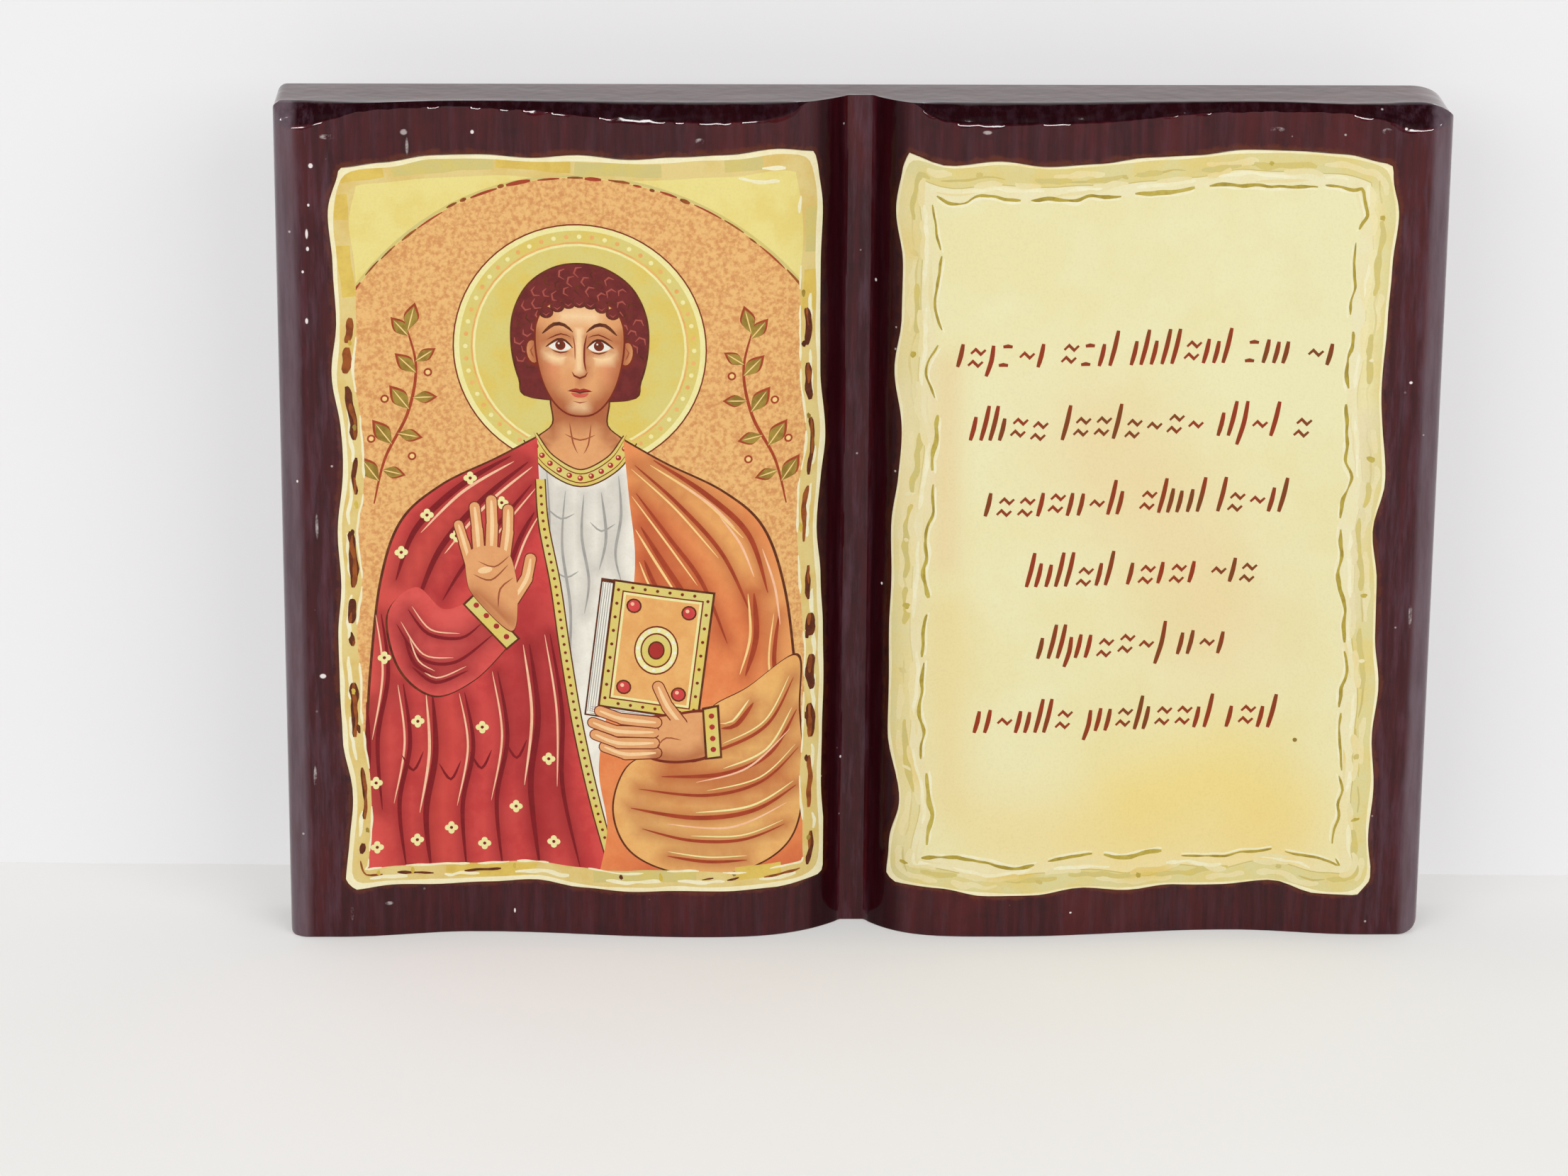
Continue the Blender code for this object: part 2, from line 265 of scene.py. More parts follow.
def board_stations():
    """Places along x of the board's sections, closer together on its edges and in the gutter."""
    turn = [EDGE_ROUND * math.sin(math.pi / 2 * step / 12) for step in range(13)]
    right = [HALF_WIDTH - EDGE_ROUND + reach for reach in turn]
    left = [-x for x in reversed(right)]
    left_page = np.arange(left[-1] + PAGE_STEP, -GUTTER_REACH, PAGE_STEP).tolist()
    gutter = np.arange(-GUTTER_REACH, GUTTER_REACH, GUTTER_STEP).tolist()
    right_page = np.arange(GUTTER_REACH, right[0] - PAGE_STEP / 2, PAGE_STEP).tolist()
    return left + left_page + gutter + right_page + right


def carving(x, z):
    """Depth of the hand-carved unevenness of the pages, never outwards."""
    broad = waves(x, z, 17, 26, 3.1)
    tool = waves(x, z, 3.2, 38, 8.4)
    fine = waves(x, z, 1.3, 12, 5.7)
    return max(0.0, 0.07 + 0.08 * broad + 0.035 * tool + 0.012 * fine)


def roll_share(t):
    """Setback of the rolled edge, from its ridge at 0 to the top at 1."""
    return 0.66 * t + 0.34 * t**3


def chipped_ridge(x, high):
    """Height of the ridge at x, with the small chips left by the carver."""
    ridge = float(smooth_line(RIDGE_X, RIDGE_Z, np.array([x]))[0])
    chip = 0.22 * waves(x, 0, 2.6, 1, 1.7) + 0.16 * waves(x, 0, 0.9, 1, 4.2)
    roll = max(0.0, HEIGHT - ridge)
    return min(ridge + chip * min(1.0, roll / 1.2), high - 0.05)


def lip_tilt(x):
    """Lean of the narrow lip above the ridge, which glints only along the chosen stretches."""
    if not any(start <= x <= end for start, end in GLINTS):
        return math.radians(1)
    middle = 6 if 12 < x < 62 else 14
    return math.radians(middle + 24 * waves(x, 0, 1.7, 1, 12.5))


def front_column(x, low, high):
    """Points (y, z) up the front of the board at x, and what each one lies on."""
    face = float(page_y(x))
    ridge = chipped_ridge(x, high)
    points = []
    for rise, back in ((0.0, 0.35), (0.12, 0.1), (0.35, 0.0)):
        points.append((face + back + carving(x, low + rise), low + rise, FACE))
    for z in np.linspace(low + 0.9, ridge - 0.9, FACE_ROWS):
        points.append((face + carving(x, z), z, FACE))
    foot = face + carving(x, ridge - 0.5)
    points += [(foot, ridge - 0.5, FACE), (foot, ridge, FACE)]
    return points + rolled_edge(x, foot, ridge, high)


def rolled_edge(x, foot, ridge, high):
    """The lip and the rolled edge above it, up to the top of the board."""
    straight = HALF_WIDTH - EDGE_ROUND
    face = float(page_y(min(max(x, -straight), straight)))
    roll = max(0.02, HEIGHT - ridge)
    lip = min(LIP, roll / 2, high - ridge)
    points = [(max(foot, face) + lip * math.tan(lip_tilt(x)), ridge + lip, LIP_MARK)]
    for step in range(1, ROLL_ROWS + 1):
        t = lip / roll + (1 - lip / roll) * (step / ROLL_ROWS) * (high - ridge) / roll
        facet = 0.2 * roll / 3 * waves(x, t * roll, 2.6, 1.5, 6.6)
        back = roll * ROLL_SETBACK * roll_share(t) + facet * math.sin(math.pi * min(t, 1))
        points.append((max(face + back, points[-1][0]), max(ridge + t * roll, points[-1][1]), t))
    return points


def board_section(x):
    """A closed section of the board at x: up the front, back along the top, down and under."""
    low = corner_cut(x, False)
    high = HEIGHT - corner_cut(x, True)
    beyond = max(0.0, abs(x) - (HALF_WIDTH - BACK_ROUND)) / BACK_ROUND
    back = BACK_Y - BACK_ROUND * (1 - math.sqrt(max(0.0, 1 - min(1.0, beyond) ** 2)))
    front = front_column(x, low, high)
    edge_y, edge_z, _ = front[-1]
    section = front[:-1] + [(edge_y + 0.02, edge_z - 0.1, 1.0)]
    for step in range(1, TOP_ROWS + 1):
        share = step / TOP_ROWS
        y = edge_y + (back - edge_y) * share
        uneven = 0.05 * (1 + waves(x, y, 11, 4, 9.3)) * math.sin(math.pi * share)
        droop = 0.34 * (1 - share) ** 1.5 + uneven
        section.append((y, high - droop * 0.6, TOP))
    for step in range(1, BACK_ROWS + 1):
        section.append((back, high - (high - low) * step / BACK_ROWS, BACK))
    for step in range(1, UNDERSIDE_ROWS):
        section.append((back + (front[0][0] - back) * step / UNDERSIDE_ROWS, low, UNDERSIDE))
    return section


def make_board():
    xs = board_stations()
    sections = [board_section(x) for x in xs]
    rows = len(sections[0])
    vertices = [(x * MM, y * MM, z * MM) for x, section in zip(xs, sections) for y, z, _ in section]
    faces = []
    for column in range(len(xs) - 1):
        here, there = column * rows, (column + 1) * rows
        for row in range(rows):
            beside = (row + 1) % rows
            faces.append((here + row, there + row, there + beside, here + beside))
    faces.append(tuple(range(rows)))
    faces.append(tuple(range(len(vertices) - 1, len(vertices) - rows - 1, -1)))
    board = new_mesh_object("carved_board", vertices, faces)
    lip_row = next(row for row, point in enumerate(sections[0]) if point[2] == LIP_MARK)
    smooth = [row + 1 != lip_row for _ in range(len(xs) - 1) for row in range(rows)]
    board.data.polygons.foreach_set("use_smooth", smooth + [False, False])
    board.data.set_sharp_from_angle(angle=math.radians(38))
    places = np.array([(x, z) for x, section in zip(xs, sections) for _, z, _ in section])
    mark_board(board.data, places, np.array([kind for section in sections for _, _, kind in section]))
    return board


def mark_board(mesh, places, kinds):
    """Stores where the wood's stain changes and where painted shade and painted sheen go, for its material.
    """
    front = kinds < TOP
    gap = np.minimum(nearest_distance(places, ICON_OUTLINE), nearest_distance(places, TEXT_OUTLINE))
    gap[~front] = 50
    across = np.abs(places[:, 0])
    depth = np.abs(places[:, 0] - GUTTER_X)
    add_floats(mesh, "paper_gap", gap)
    # The rolled edge above the ridge and the gutter walls get painted shade; the outer edges and the middle
    # of the gutter get painted sheen.
    add_floats(mesh, "rolled", np.clip(kinds, 0, 1) * front)
    add_floats(mesh, "gutter_wall_shade", smoothstep(*WALL_FOOT, depth) * smoothstep(*WALL_CREST, depth) * front)
    add_floats(mesh, "painted_sheen", np.maximum(smoothstep(*OUTER_SHEEN, across), smoothstep(*GUTTER_SHEEN, depth)))
    add_floats(mesh, "outer_edge_sheen", smoothstep(*OUTER_EDGE_SHEEN, across) * front)


def add_floats(mesh, name, values, domain="POINT"):
    attribute = mesh.attributes.new(name, "FLOAT", domain)
    attribute.data.foreach_set("value", np.asarray(values, np.float32))


# Materials

class Finish:
    """A material and short calls for its nodes."""

    def __init__(self, name):
        self.material = bpy.data.materials.new(name)
        self.material.use_nodes = True
        self.tree = self.material.node_tree
        self.surface = self.tree.nodes["Principled BSDF"]

    def put(self, socket, value):
        if isinstance(value, bpy.types.NodeSocket):
            self.tree.links.new(value, socket)
        elif socket.type == "RGBA" and len(value) == 3:
            socket.default_value = (*value, 1)
        else:
            socket.default_value = value

    def add(self, kind, sockets, **settings):
        node = self.tree.nodes.new(kind)
        for key, value in settings.items():
            setattr(node, key, value)
        for key, value in sockets.items():
            self.put(node.inputs[key], value)
        return node

    def places(self, scale=(1, 1, 1)):
        """Places on the object in metres, stretched by scale."""
        source = self.add("ShaderNodeTexCoord", {})
        return self.add("ShaderNodeMapping", {"Vector": source.outputs["Object"], "Scale": scale}).outputs[0]

    def noise(self, places, scale, detail=3.0, roughness=0.55):
        sockets = {"Vector": places, "Scale": scale, "Detail": detail, "Roughness": roughness}
        return self.add("ShaderNodeTexNoise", sockets).outputs["Fac"]

    def ramp(self, value, low, high, to_low=0.0, to_high=1.0):
        sockets = {"Value": value, "From Min": low, "From Max": high, "To Min": to_low, "To Max": to_high}
        return self.add("ShaderNodeMapRange", sockets, interpolation_type="SMOOTHSTEP").outputs[0]

    def math(self, operation, first, second=0.0):
        return self.add("ShaderNodeMath", {0: first, 1: second}, operation=operation).outputs[0]

    def times(self, first, second):
        return self.math("MULTIPLY", first, second)

    def mix(self, factor, first, second):
        sockets = {0: factor, 6: first, 7: second}
        return self.add("ShaderNodeMix", sockets, data_type="RGBA").outputs[2]

    def read(self, name, output="Fac"):
        return self.add("ShaderNodeAttribute", {}, attribute_name=name).outputs[output]

    def bump(self, height, strength, distance):
        sockets = {"Height": height, "Strength": strength, "Distance": distance}
        return self.add("ShaderNodeBump", sockets).outputs[0]

    def spot(self, x, z, across, up):
        """1 within a small oval spot on the object, at x and z in mm, and 0 outside."""
        source = self.add("ShaderNodeTexCoord", {})
        sockets = {
            "Vector": source.outputs["Object"],
            "Location": (-x / across, 0, -z / up),
            "Scale": (1 / (across * MM), 0, 1 / (up * MM)),
        }
        moved = self.add("ShaderNodeMapping", sockets).outputs[0]
        reach = self.add("ShaderNodeVectorMath", {0: moved}, operation="LENGTH").outputs["Value"]
        return self.ramp(reach, 1.0, 0.6)

    def surface_is(self, **values):
        for key, value in values.items():
            self.put(self.surface.inputs[key.replace("_", " ").title().replace("Ior", "IOR")], value)
        return self.material


# Pale specks on the pages, partly dust and partly painted glints, and greyish rubbed marks: x, z, and how
# far they reach across and up.
SPECKS = (
    (-93.6, 139.4, 0.45, 0.5), (-94.1, 132.6, 0.25, 0.3), (-94.5, 127.6, 0.28, 1.0),
    (-94.4, 125.0, 0.3, 0.45), (-95.3, 121.0, 0.25, 0.3), (-94.8, 112.4, 0.3, 0.6),
    (-93.3, 48.7, 0.65, 0.5), (-66.4, 144.7, 0.35, 0.4),
    (-97.0, 84.0, 0.2, 0.3), (-60.4, 4.2, 0.2, 0.5), (91.6, 146.0, 0.3, 0.25), (94.3, 101.6, 0.35, 0.3),
    (2.4, 118.0, 0.2, 0.35), (-2.8, 31.0, 0.2, 0.3), (4.0, 64.0, 0.18, 0.3), (38.0, 4.4, 0.25, 0.2),
)
RUBS = (
    (-77.4, 142.4, 0.3, 1.7), (-77.9, 144.9, 0.7, 0.6), (-89.0, 4.6, 0.35, 1.5), (-82.5, 6.2, 0.8, 0.4),
    (-95.0, 30.0, 0.35, 2.4), (-93.8, 76.0, 0.3, 2.6), (-90.8, 144.4, 1.6, 0.5), (96.0, 60.0, 0.35, 3.0),
    (-28.0, 143.8, 0.9, 0.6), (70.0, 145.4, 1.4, 0.5), (20.6, 145.4, 0.9, 0.4), (88.4, 145.6, 1.0, 0.6),
)


def wood_stain_shade_and_sheen(finish, streaks, mottle):
    """Dark red stain in streaks with a brown rim at the paper, painted shade on the roll and the gutter
    walls, and painted sheen on the outer edges and the middle of the gutter.
    """
    broad = finish.noise(finish.places((1, 1, 0.35)), 70, 3.0)
    colour = finish.mix(finish.ramp(streaks, 0.35, 0.7), rgb(52, 9, 14), rgb(68, 14, 20))
    colour = finish.mix(finish.ramp(broad, 0.5, 0.72, 0, 0.55), colour, rgb(86, 22, 22))
    colour = finish.mix(finish.ramp(mottle, 0.45, 0.75, 0, 0.35), colour, rgb(30, 8, 10))
    ragged = finish.math("ADD", finish.read("paper_gap"), finish.ramp(mottle, 0.3, 0.7, -0.35, 0.35))
    colour = finish.mix(finish.ramp(ragged, 1.1, 0.3, 0, 0.75), colour, rgb(96, 40, 12))
    # Painted shade on the rolled edge above the ridge.
    colour = finish.mix(finish.ramp(finish.read("rolled"), 0.0, 0.2, 0, 0.8), colour, rgb(18, 5, 9))
    strands = finish.noise(finish.places((1, 1, 0.12)), 620, 4.0, 0.65)
    # Painted mauve sheen in streaks, stronger towards the outer edges and over the middle of the gutter.
    painted_sheen = finish.ramp(finish.read("painted_sheen"), 0, 1, 0.35, 1.0)
    painted_sheen = finish.times(painted_sheen, finish.ramp(strands, 0.42, 0.74, 0.02, 0.46))
    colour = finish.mix(painted_sheen, colour, rgb(92, 64, 78))
    # Painted shade on the gutter walls.
    colour = finish.mix(finish.times(finish.read("gutter_wall_shade"), 0.65), colour, rgb(24, 5, 9))
    # Painted pale sheen in streaks on the rounded outer edges.
    edge_sheen = finish.times(finish.read("outer_edge_sheen"), finish.ramp(strands, 0.2, 0.7, 0.45, 0.75))
    return finish.mix(edge_sheen, colour, rgb(108, 92, 100))


def wood_marks(finish, places, mottle):
    """Share of the pale marks on the front: fine dust, larger specks that are partly painted glints, and
    rubbed places.
    """
    dust = finish.add("ShaderNodeTexVoronoi", {"Vector": places, "Scale": 330.0})
    chance = finish.add("ShaderNodeSeparateColor", {0: dust.outputs["Color"]}).outputs[0]
    marks = finish.ramp(dust.outputs["Distance"], 0.09, 0.04, 0, 0.5)
    marks = finish.times(marks, finish.ramp(chance, 0.8, 0.84))
    for spot in SPECKS:
        marks = finish.math("MAXIMUM", marks, finish.spot(*spot))
    for spot in RUBS:
        worn = finish.times(finish.spot(*spot), finish.ramp(mottle, 0.42, 0.62, 0, 0.45))
        marks = finish.math("MAXIMUM", marks, worn)
    return finish.times(marks, finish.ramp(finish.read("paper_gap"), 40, 30))


def stained_wood():
    finish = Finish("stained_wood")
    places = finish.places()
    streaks = finish.noise(finish.places((1, 1, 0.045)), 900, 4.0)
    mottle = finish.noise(places, 420, 4.0, 0.65)
    colour = wood_stain_shade_and_sheen(finish, streaks, mottle)
    # Pale marks of dust and rubbing, with painted glints among the specks.
    colour = finish.mix(wood_marks(finish, places, mottle), colour, rgb(226, 216, 214))
    height = finish.math("ADD", finish.times(streaks, 0.6), finish.times(mottle, 0.4))
    skin = finish.bump(finish.noise(places, 160, 2.0), 0.25, 0.0006)
    return finish.surface_is(
        base_color=colour,
        roughness=0.5,
        normal=finish.bump(height, 0.35, 0.00025),
        coat_weight=finish.ramp(finish.read("gutter_wall_shade"), 0, 1, 1.0, 0.35),
        coat_roughness=0.09,
        coat_normal=skin,
        coat_ior=1.36,
        specular_ior_level=0.0,
    )


def printed_paper(name):
    """Print on varnished paper, coloured by the piece's own attributes."""
    finish = Finish(name)
    places = finish.places()
    sponge = finish.noise(places, finish.read("print_scale"), 4.0, 0.62)
    amount = finish.times(finish.ramp(sponge, 0.38, 0.66), finish.read("print_amount"))
    colour = finish.mix(amount, finish.read("print_tint", "Color"), finish.read("print_second", "Color"))
    grain = finish.noise(places, 2600, 2.0)
    colour = finish.mix(finish.ramp(grain, 0.4, 0.8, 0, 0.06), colour, rgb(120, 80, 40))
    fibres = finish.times(finish.noise(places, 900, 3.0), 0.15)
    height = finish.math("ADD", fibres, finish.noise(places, 55, 2.0))
    return finish.surface_is(
        base_color=colour,
        roughness=finish.ramp(grain, 0.3, 0.7, 0.42, 0.55),
        coat_weight=0.2,
        coat_roughness=0.1,
        specular_ior_level=0.08,
        normal=finish.bump(height, 0.12, 0.0008),
    )


def plain_surface(name, colour, roughness, share, glow):
    """Paint whose shadows are softened by a share of its brightness coming from the paint itself."""
    finish = Finish(name)
    cloud = finish.noise(finish.places(), 14, 2.0)
    tint = finish.mix(finish.ramp(cloud, 0.3, 0.7, 0, 0.04), colour, rgb(200, 198, 194))
    dimmed = finish.mix(share, tint, (0, 0, 0))
    return finish.surface_is(
        base_color=dimmed,
        roughness=roughness,
        specular_ior_level=0.0,
        emission_color=colour,
        emission_strength=share * glow,
    )


# Printed picture: drawing tools

def curve(points, closed=True, step=0.8):
    """Smooth line through the points. A point given twice is a corner."""
    count = len(points)
    reach = count if closed else count - 1
    made = []
    for index in range(reach):
        if closed:
            p0, p1, p2, p3 = (Vector(points[(index + k) % count]) for k in (-1, 0, 1, 2))
        else:
            p0, p1, p2, p3 = (Vector(points[min(max(index + k, 0), count - 1)]) for k in (-1, 0, 1, 2))
        length = (p2 - p1).length
        if length < 1e-6:
            continue
        if (p1 - p0).length < 1e-6:
            p0 = p1 - (p2 - p1) * 0.01
        if (p3 - p2).length < 1e-6:
            p3 = p2 + (p2 - p1) * 0.01
        steps = max(1, round(length / step))
        for part in range(steps):
            t = part / steps
            a = (p2 - p0) * 0.5
            b = (p3 - p1) * 0.5
            blend = (2 * t**3 - 3 * t**2 + 1) * p1 + (t**3 - 2 * t**2 + t) * a
            blend += (-2 * t**3 + 3 * t**2) * p2 + (t**3 - t**2) * b
            made.append((blend.x, blend.y))
    if not closed:
        made.append(tuple(points[-1]))
    return made


def sideways(line):
    """Unit steps square to an open line, to its left, at each of its points."""
    ahead = np.gradient(line, axis=0)
    ahead /= np.maximum(np.hypot(ahead[:, 0], ahead[:, 1]), 1e-9)[:, None]
    return np.stack((-ahead[:, 1], ahead[:, 0]), axis=1)


def brush(points, width, taper):
    """Outline of a brush stroke along a smooth line, thin at both ends."""
    line = np.array(curve(points, closed=False, step=0.9))
    if len(line) < 3:
        line = np.array(resampled([tuple(p) for p in line], 0.4, closed=False))
    along = np.linspace(0, 1, len(line))
    half = width / 2 * (1 - taper * np.abs(2 * along - 1) ** 2.2)
    reach = sideways(line) * half[:, None]
    return [tuple(p) for p in np.concatenate((line + reach, (line - reach)[::-1]))]


def placed(x, z, across, up, tilt):
    """The point at a step from x and z, with the step turned by tilt."""
    cos, sin = math.cos(tilt), math.sin(tilt)
    return x + across * cos - up * sin, z + across * sin + up * cos


def oval(x, z, across, up, count, tilt=0.0):
    turns = [2 * math.pi * step / count for step in range(count)]
    return [placed(x, z, across * math.cos(turn), up * math.sin(turn), tilt) for turn in turns]


def sided(points, side):
    """The points as they are for side 1, mirrored for side -1."""
    return [(side * x, z) for x, z in points]


def mirrored(points):
    """The other half of an outline that is alike on both sides, in order."""
    return sided(points[::-1], -1)


def grown(points, across, up, middle=(0, 0), shift=(0, 0)):
    """The points spread out from a middle, and shifted."""
    (mx, mz), (dx, dz) = middle, shift
    return [((x - mx) * across + mx + dx, (z - mz) * up + mz + dz) for x, z in points]


class Print:
    """Shapes of a printed sheet in the order they are painted, in the sheet's own mm."""

    def __init__(self, outline, middle_x):
        self.middle_x = middle_x
        self.outline = [(x - middle_x, z) for x, z in outline]
        self.shapes = []
        self.glows = []

    def fill(self, ink, points):
        self.shapes.append((ink, list(points), False))

    def surround(self, ink, points):
        """Paints all that lies outside the closed line."""
        self.shapes.append((ink, list(points), True))

    def outlined(self, ink, points, edge, dark="umber", step=0.8):
        """A smooth shape painted over its own slightly larger, dark one."""
        self.fill(dark, curve(edge, step=step))
        self.fill(ink, curve(points, step=step))

    def dot(self, ink, x, z, radius, count=10):
        self.fill(ink, oval(x, z, radius, radius, count))

    def ring(self, ink, x, z, radius, width, start=0, end=360):
        angles = [math.radians(start + (end - start) * k / 48) for k in range(49)]
        reaches = (radius + width / 2, radius - width / 2)
        outer, inner = ([(x + r * math.cos(a), z + r * math.sin(a)) for a in angles] for r in reaches)
        self.fill(ink, outer + inner[::-1])

    def line(self, ink, points, width, taper=0.85):
        self.fill(ink, brush(points, width, taper))

    def lines(self, ink, width, *paths):
        for points in paths:
            self.line(ink, points, width)

    def strokes(self, rows, side=1):
        """Lines from rows of ink, width, taper and points."""
        for ink, width, taper, points in rows:
            self.line(ink, sided(points, side), width, taper)

    def shades(self, on, rows, side=1):
        """Soft airbrushed lines on some inks, from rows of colour, radius, strength and points."""
        for colour, radius, strength, points in rows:
            line = curve(sided(points, side), closed=False, step=1.5)
            self.glows.append((colour, line, radius, strength, on))


# Step of the grid that lets a sheet follow its page, and how much light the print keeps.
GRID_STEP = 1.8
INK_LIGHT = 0.88
# Colours of the print: main tint, second tint, wave scale of the blotches, and their amount.
INKS = {
    "paper": ((244, 232, 178), (232, 208, 120), 420, 0.5),
    "rim": ((246, 238, 198), (240, 226, 176), 300, 0.6),
    "white": ((244, 240, 226), (226, 220, 206), 260, 0.5),
    "wash": ((222, 212, 152), (228, 208, 130), 160, 0.8),
    "wash_dark": ((204, 190, 122), (208, 184, 98), 300, 0.7),
    "wash_light": ((234, 223, 172), (236, 217, 156), 160, 0.8),
    "border": ((228, 206, 136), (222, 190, 108), 150, 0.9),
    "band": ((238, 230, 188), (236, 224, 170), 200, 0.6),
    "field": ((238, 232, 184), (235, 225, 168), 45, 0.7),
    "cream": ((244, 238, 202), (238, 226, 174), 400, 0.5),
    "dab": ((212, 184, 78), (196, 160, 56), 600, 0.7),
    "olive": ((166, 140, 58), (132, 104, 34), 500, 0.8),
    "olive_light": ((196, 178, 86), (178, 156, 58), 500, 0.8),
    "moss": ((184, 164, 66), (152, 130, 42), 500, 0.8),
    "umber": ((86, 34, 14), (120, 58, 22), 700, 0.6),
    "amber": ((158, 84, 30), (120, 54, 18), 500, 0.8),
    "spandrel": ((236, 222, 140), (232, 208, 116), 150, 0.7),
    "patch": ((226, 196, 96), (214, 180, 84), 300, 0.8),
    "patch_grey": ((210, 196, 126), (218, 198, 110), 260, 0.8),
    "ground": ((238, 188, 120), (214, 148, 88), 1200, 0.95),
    "gold": ((220, 206, 122), (226, 196, 88), 150, 0.8),
    "gold_light": ((242, 234, 168), (236, 222, 140), 400, 0.4),
    "brown": ((128, 40, 18), (104, 30, 16), 500, 0.5),
    "crimson": ((215, 76, 72), (200, 58, 58), 260, 0.7),
    "crimson_lit": ((224, 90, 84), (210, 72, 68), 260, 0.6),
    "crimson_dark": ((132, 18, 28), (112, 14, 20), 400, 0.5),
    "rose": ((248, 200, 164), (242, 174, 136), 400, 0.5),
    "orange": ((236, 142, 84), (226, 122, 68), 260, 0.6),
    "orange_dark": ((170, 66, 34), (146, 50, 24), 400, 0.5),
    "orange_light": ((248, 214, 142), (242, 194, 118), 400, 0.5),
    "ochre": ((238, 182, 110), (228, 160, 88), 260, 0.6),
    "grey": ((172, 168, 160), (146, 144, 142), 400, 0.5),
    "skin": ((232, 168, 112), (220, 148, 92), 300, 0.4),
    "skin_dark": ((166, 86, 50), (146, 70, 40), 300, 0.5),
    "skin_light": ((248, 212, 160), (244, 196, 140), 300, 0.4),
    "hair": ((118, 40, 38), (92, 26, 26), 500, 0.6),
    "hair_light": ((176, 86, 74), (150, 64, 54), 400, 0.5),
    "lips": ((176, 48, 42), (150, 36, 34), 400, 0.4),
    "lips_light": ((212, 98, 78), (196, 80, 62), 400, 0.4),
    "ink": ((150, 52, 16), (118, 66, 20), 75, 0.9),
}


def covered(sheet):
    """The sheet cut into triangles along every painted line, and the colour of each triangle."""
    points = [Vector(p) for p in sheet.outline]
    edges = [(k, (k + 1) % len(points)) for k in range(len(points))]
    for _, shape, _ in sheet.shapes:
        first = len(points)
        points += [Vector(p) for p in shape]
        edges += [(first + k, first + (k + 1) % len(shape)) for k in range(len(shape))]
    outline = np.array(sheet.outline)
    low, high = outline.min(0), outline.max(0)
    across, up = (np.arange(low[k], high[k], GRID_STEP) for k in (0, 1))
    grid = np.array([(x, z) for x in across for z in up])
    clear = inside(grid, sheet.outline) & (nearest_distance(grid, sheet.outline) > 0.6)
    points += [Vector(p) for p in grid[clear]]
    found, _, triangles, _, _, _ = delaunay_2d_cdt(points, edges, [], 0, 1e-4, False)
    flat = np.array([(p.x, p.y) for p in found])
    triangles = np.array(triangles)
    middles = flat[triangles].mean(1)
    kept = inside(middles, sheet.outline)
    triangles, middles = triangles[kept], middles[kept]
    colours = np.array(["paper"] * len(triangles), dtype=object)
    for colour, shape, around in sheet.shapes:
        box = np.array(shape)
        near = np.where(((middles >= box.min(0)) & (middles <= box.max(0))).all(1) | around)[0]
        colours[near[inside(middles[near], shape) != around]] = colour
    return flat, triangles, colours


def glow_share(places, line, radius):
    """1 on the line, falling off softly away from it."""
    return np.exp(-nearest_square(places, np.array(line[:-1]), np.array(line[1:])) / radius**2)


def make_sheet(name, sheet, material):
    """The printed sheet as a thin solid that follows its page."""
    flat, triangles, colours = covered(sheet)
    used, renumbered = np.unique(triangles, return_inverse=True)
    triangles = renumbered.reshape(triangles.shape)
    flat = flat[used]
    xs = flat[:, 0] + sheet.middle_x
    count = len(flat)
    front = np.stack((xs, page_lift(xs, PAPER_FRONT), flat[:, 1]), axis=1)
    back = np.stack((xs, page_lift(xs, PAPER_BACK), flat[:, 1]), axis=1)
    vertices = np.concatenate((front, back)) * MM
    sides = {}
    for a, b, c in triangles.tolist():
        for pair in ((a, b), (b, c), (c, a)):
            sides[pair] = True
    rim = [(a, b) for a, b in sides if (b, a) not in sides]
    faces = triangles.tolist()
    faces += [(a + count, c + count, b + count) for a, b, c in triangles.tolist()]
    faces += [(b, a, a + count, b + count) for a, b in rim]
    made = new_mesh_object(name, vertices.tolist(), faces)
    mesh = made.data
    mesh.polygons.foreach_set("use_smooth", [True] * len(faces))
    mesh.set_sharp_from_angle(angle=math.radians(40))
    kinds = list(colours) + ["rim"] * (len(faces) - len(colours))
    paint_corners(mesh, sheet, kinds, flat)
    mesh.materials.append(material)
    return made


def printed(colour):
    return np.array(rgb(*colour)) * INK_LIGHT


def paint_corners(mesh, sheet, kinds, flat):
    """Stores each face's ink on its corners, with the soft glows mixed in."""
    totals = np.zeros(len(mesh.polygons), int)
    mesh.polygons.foreach_get("loop_total", totals)
    kinds = np.repeat(np.array(kinds, dtype=object), totals)
    owners = np.zeros(len(mesh.loops), int)
    mesh.loops.foreach_get("vertex_index", owners)
    places = flat[owners % len(flat)]
    first, second = np.ones((len(kinds), 4)), np.ones((len(kinds), 4))
    scale, amount = np.zeros(len(kinds)), np.zeros(len(kinds))
    for kind, (tint, other, wave, share) in INKS.items():
        mine = kinds == kind
        first[mine, :3] = printed(tint)
        second[mine, :3] = printed(other)
        scale[mine] = wave
        amount[mine] = share
    for colour, line, radius, strength, on in sheet.glows:
        mine = np.where(np.isin(kinds, on))[0]
        share = strength * glow_share(places[mine], line, radius)[:, None]
        for layer in (first, second):
            layer[mine, :3] += (printed(colour) - layer[mine, :3]) * share
    for name, values in (("print_tint", first), ("print_second", second)):
        attribute = mesh.attributes.new(name, "FLOAT_COLOR", "CORNER")
        attribute.data.foreach_set("color", values.astype(np.float32).ravel())
    add_floats(mesh, "print_scale", scale, "CORNER")
    add_floats(mesh, "print_amount", amount, "CORNER")


# Printed picture: a calm haloed figure under an arch

ARCH_RADIUS = 47.2
ARCH_MIDDLE = 90
# Middle and radius of the halo.
HALO = (0, 107.5, 21)
# The strokes of the border end below the yellow corners, its blots and innermost strokes a bit higher.
STROKES_TOP = 116
INNERMOST_TOP = 118
# Some of the brown strokes are left out below this height.
THIN_BELOW = 14


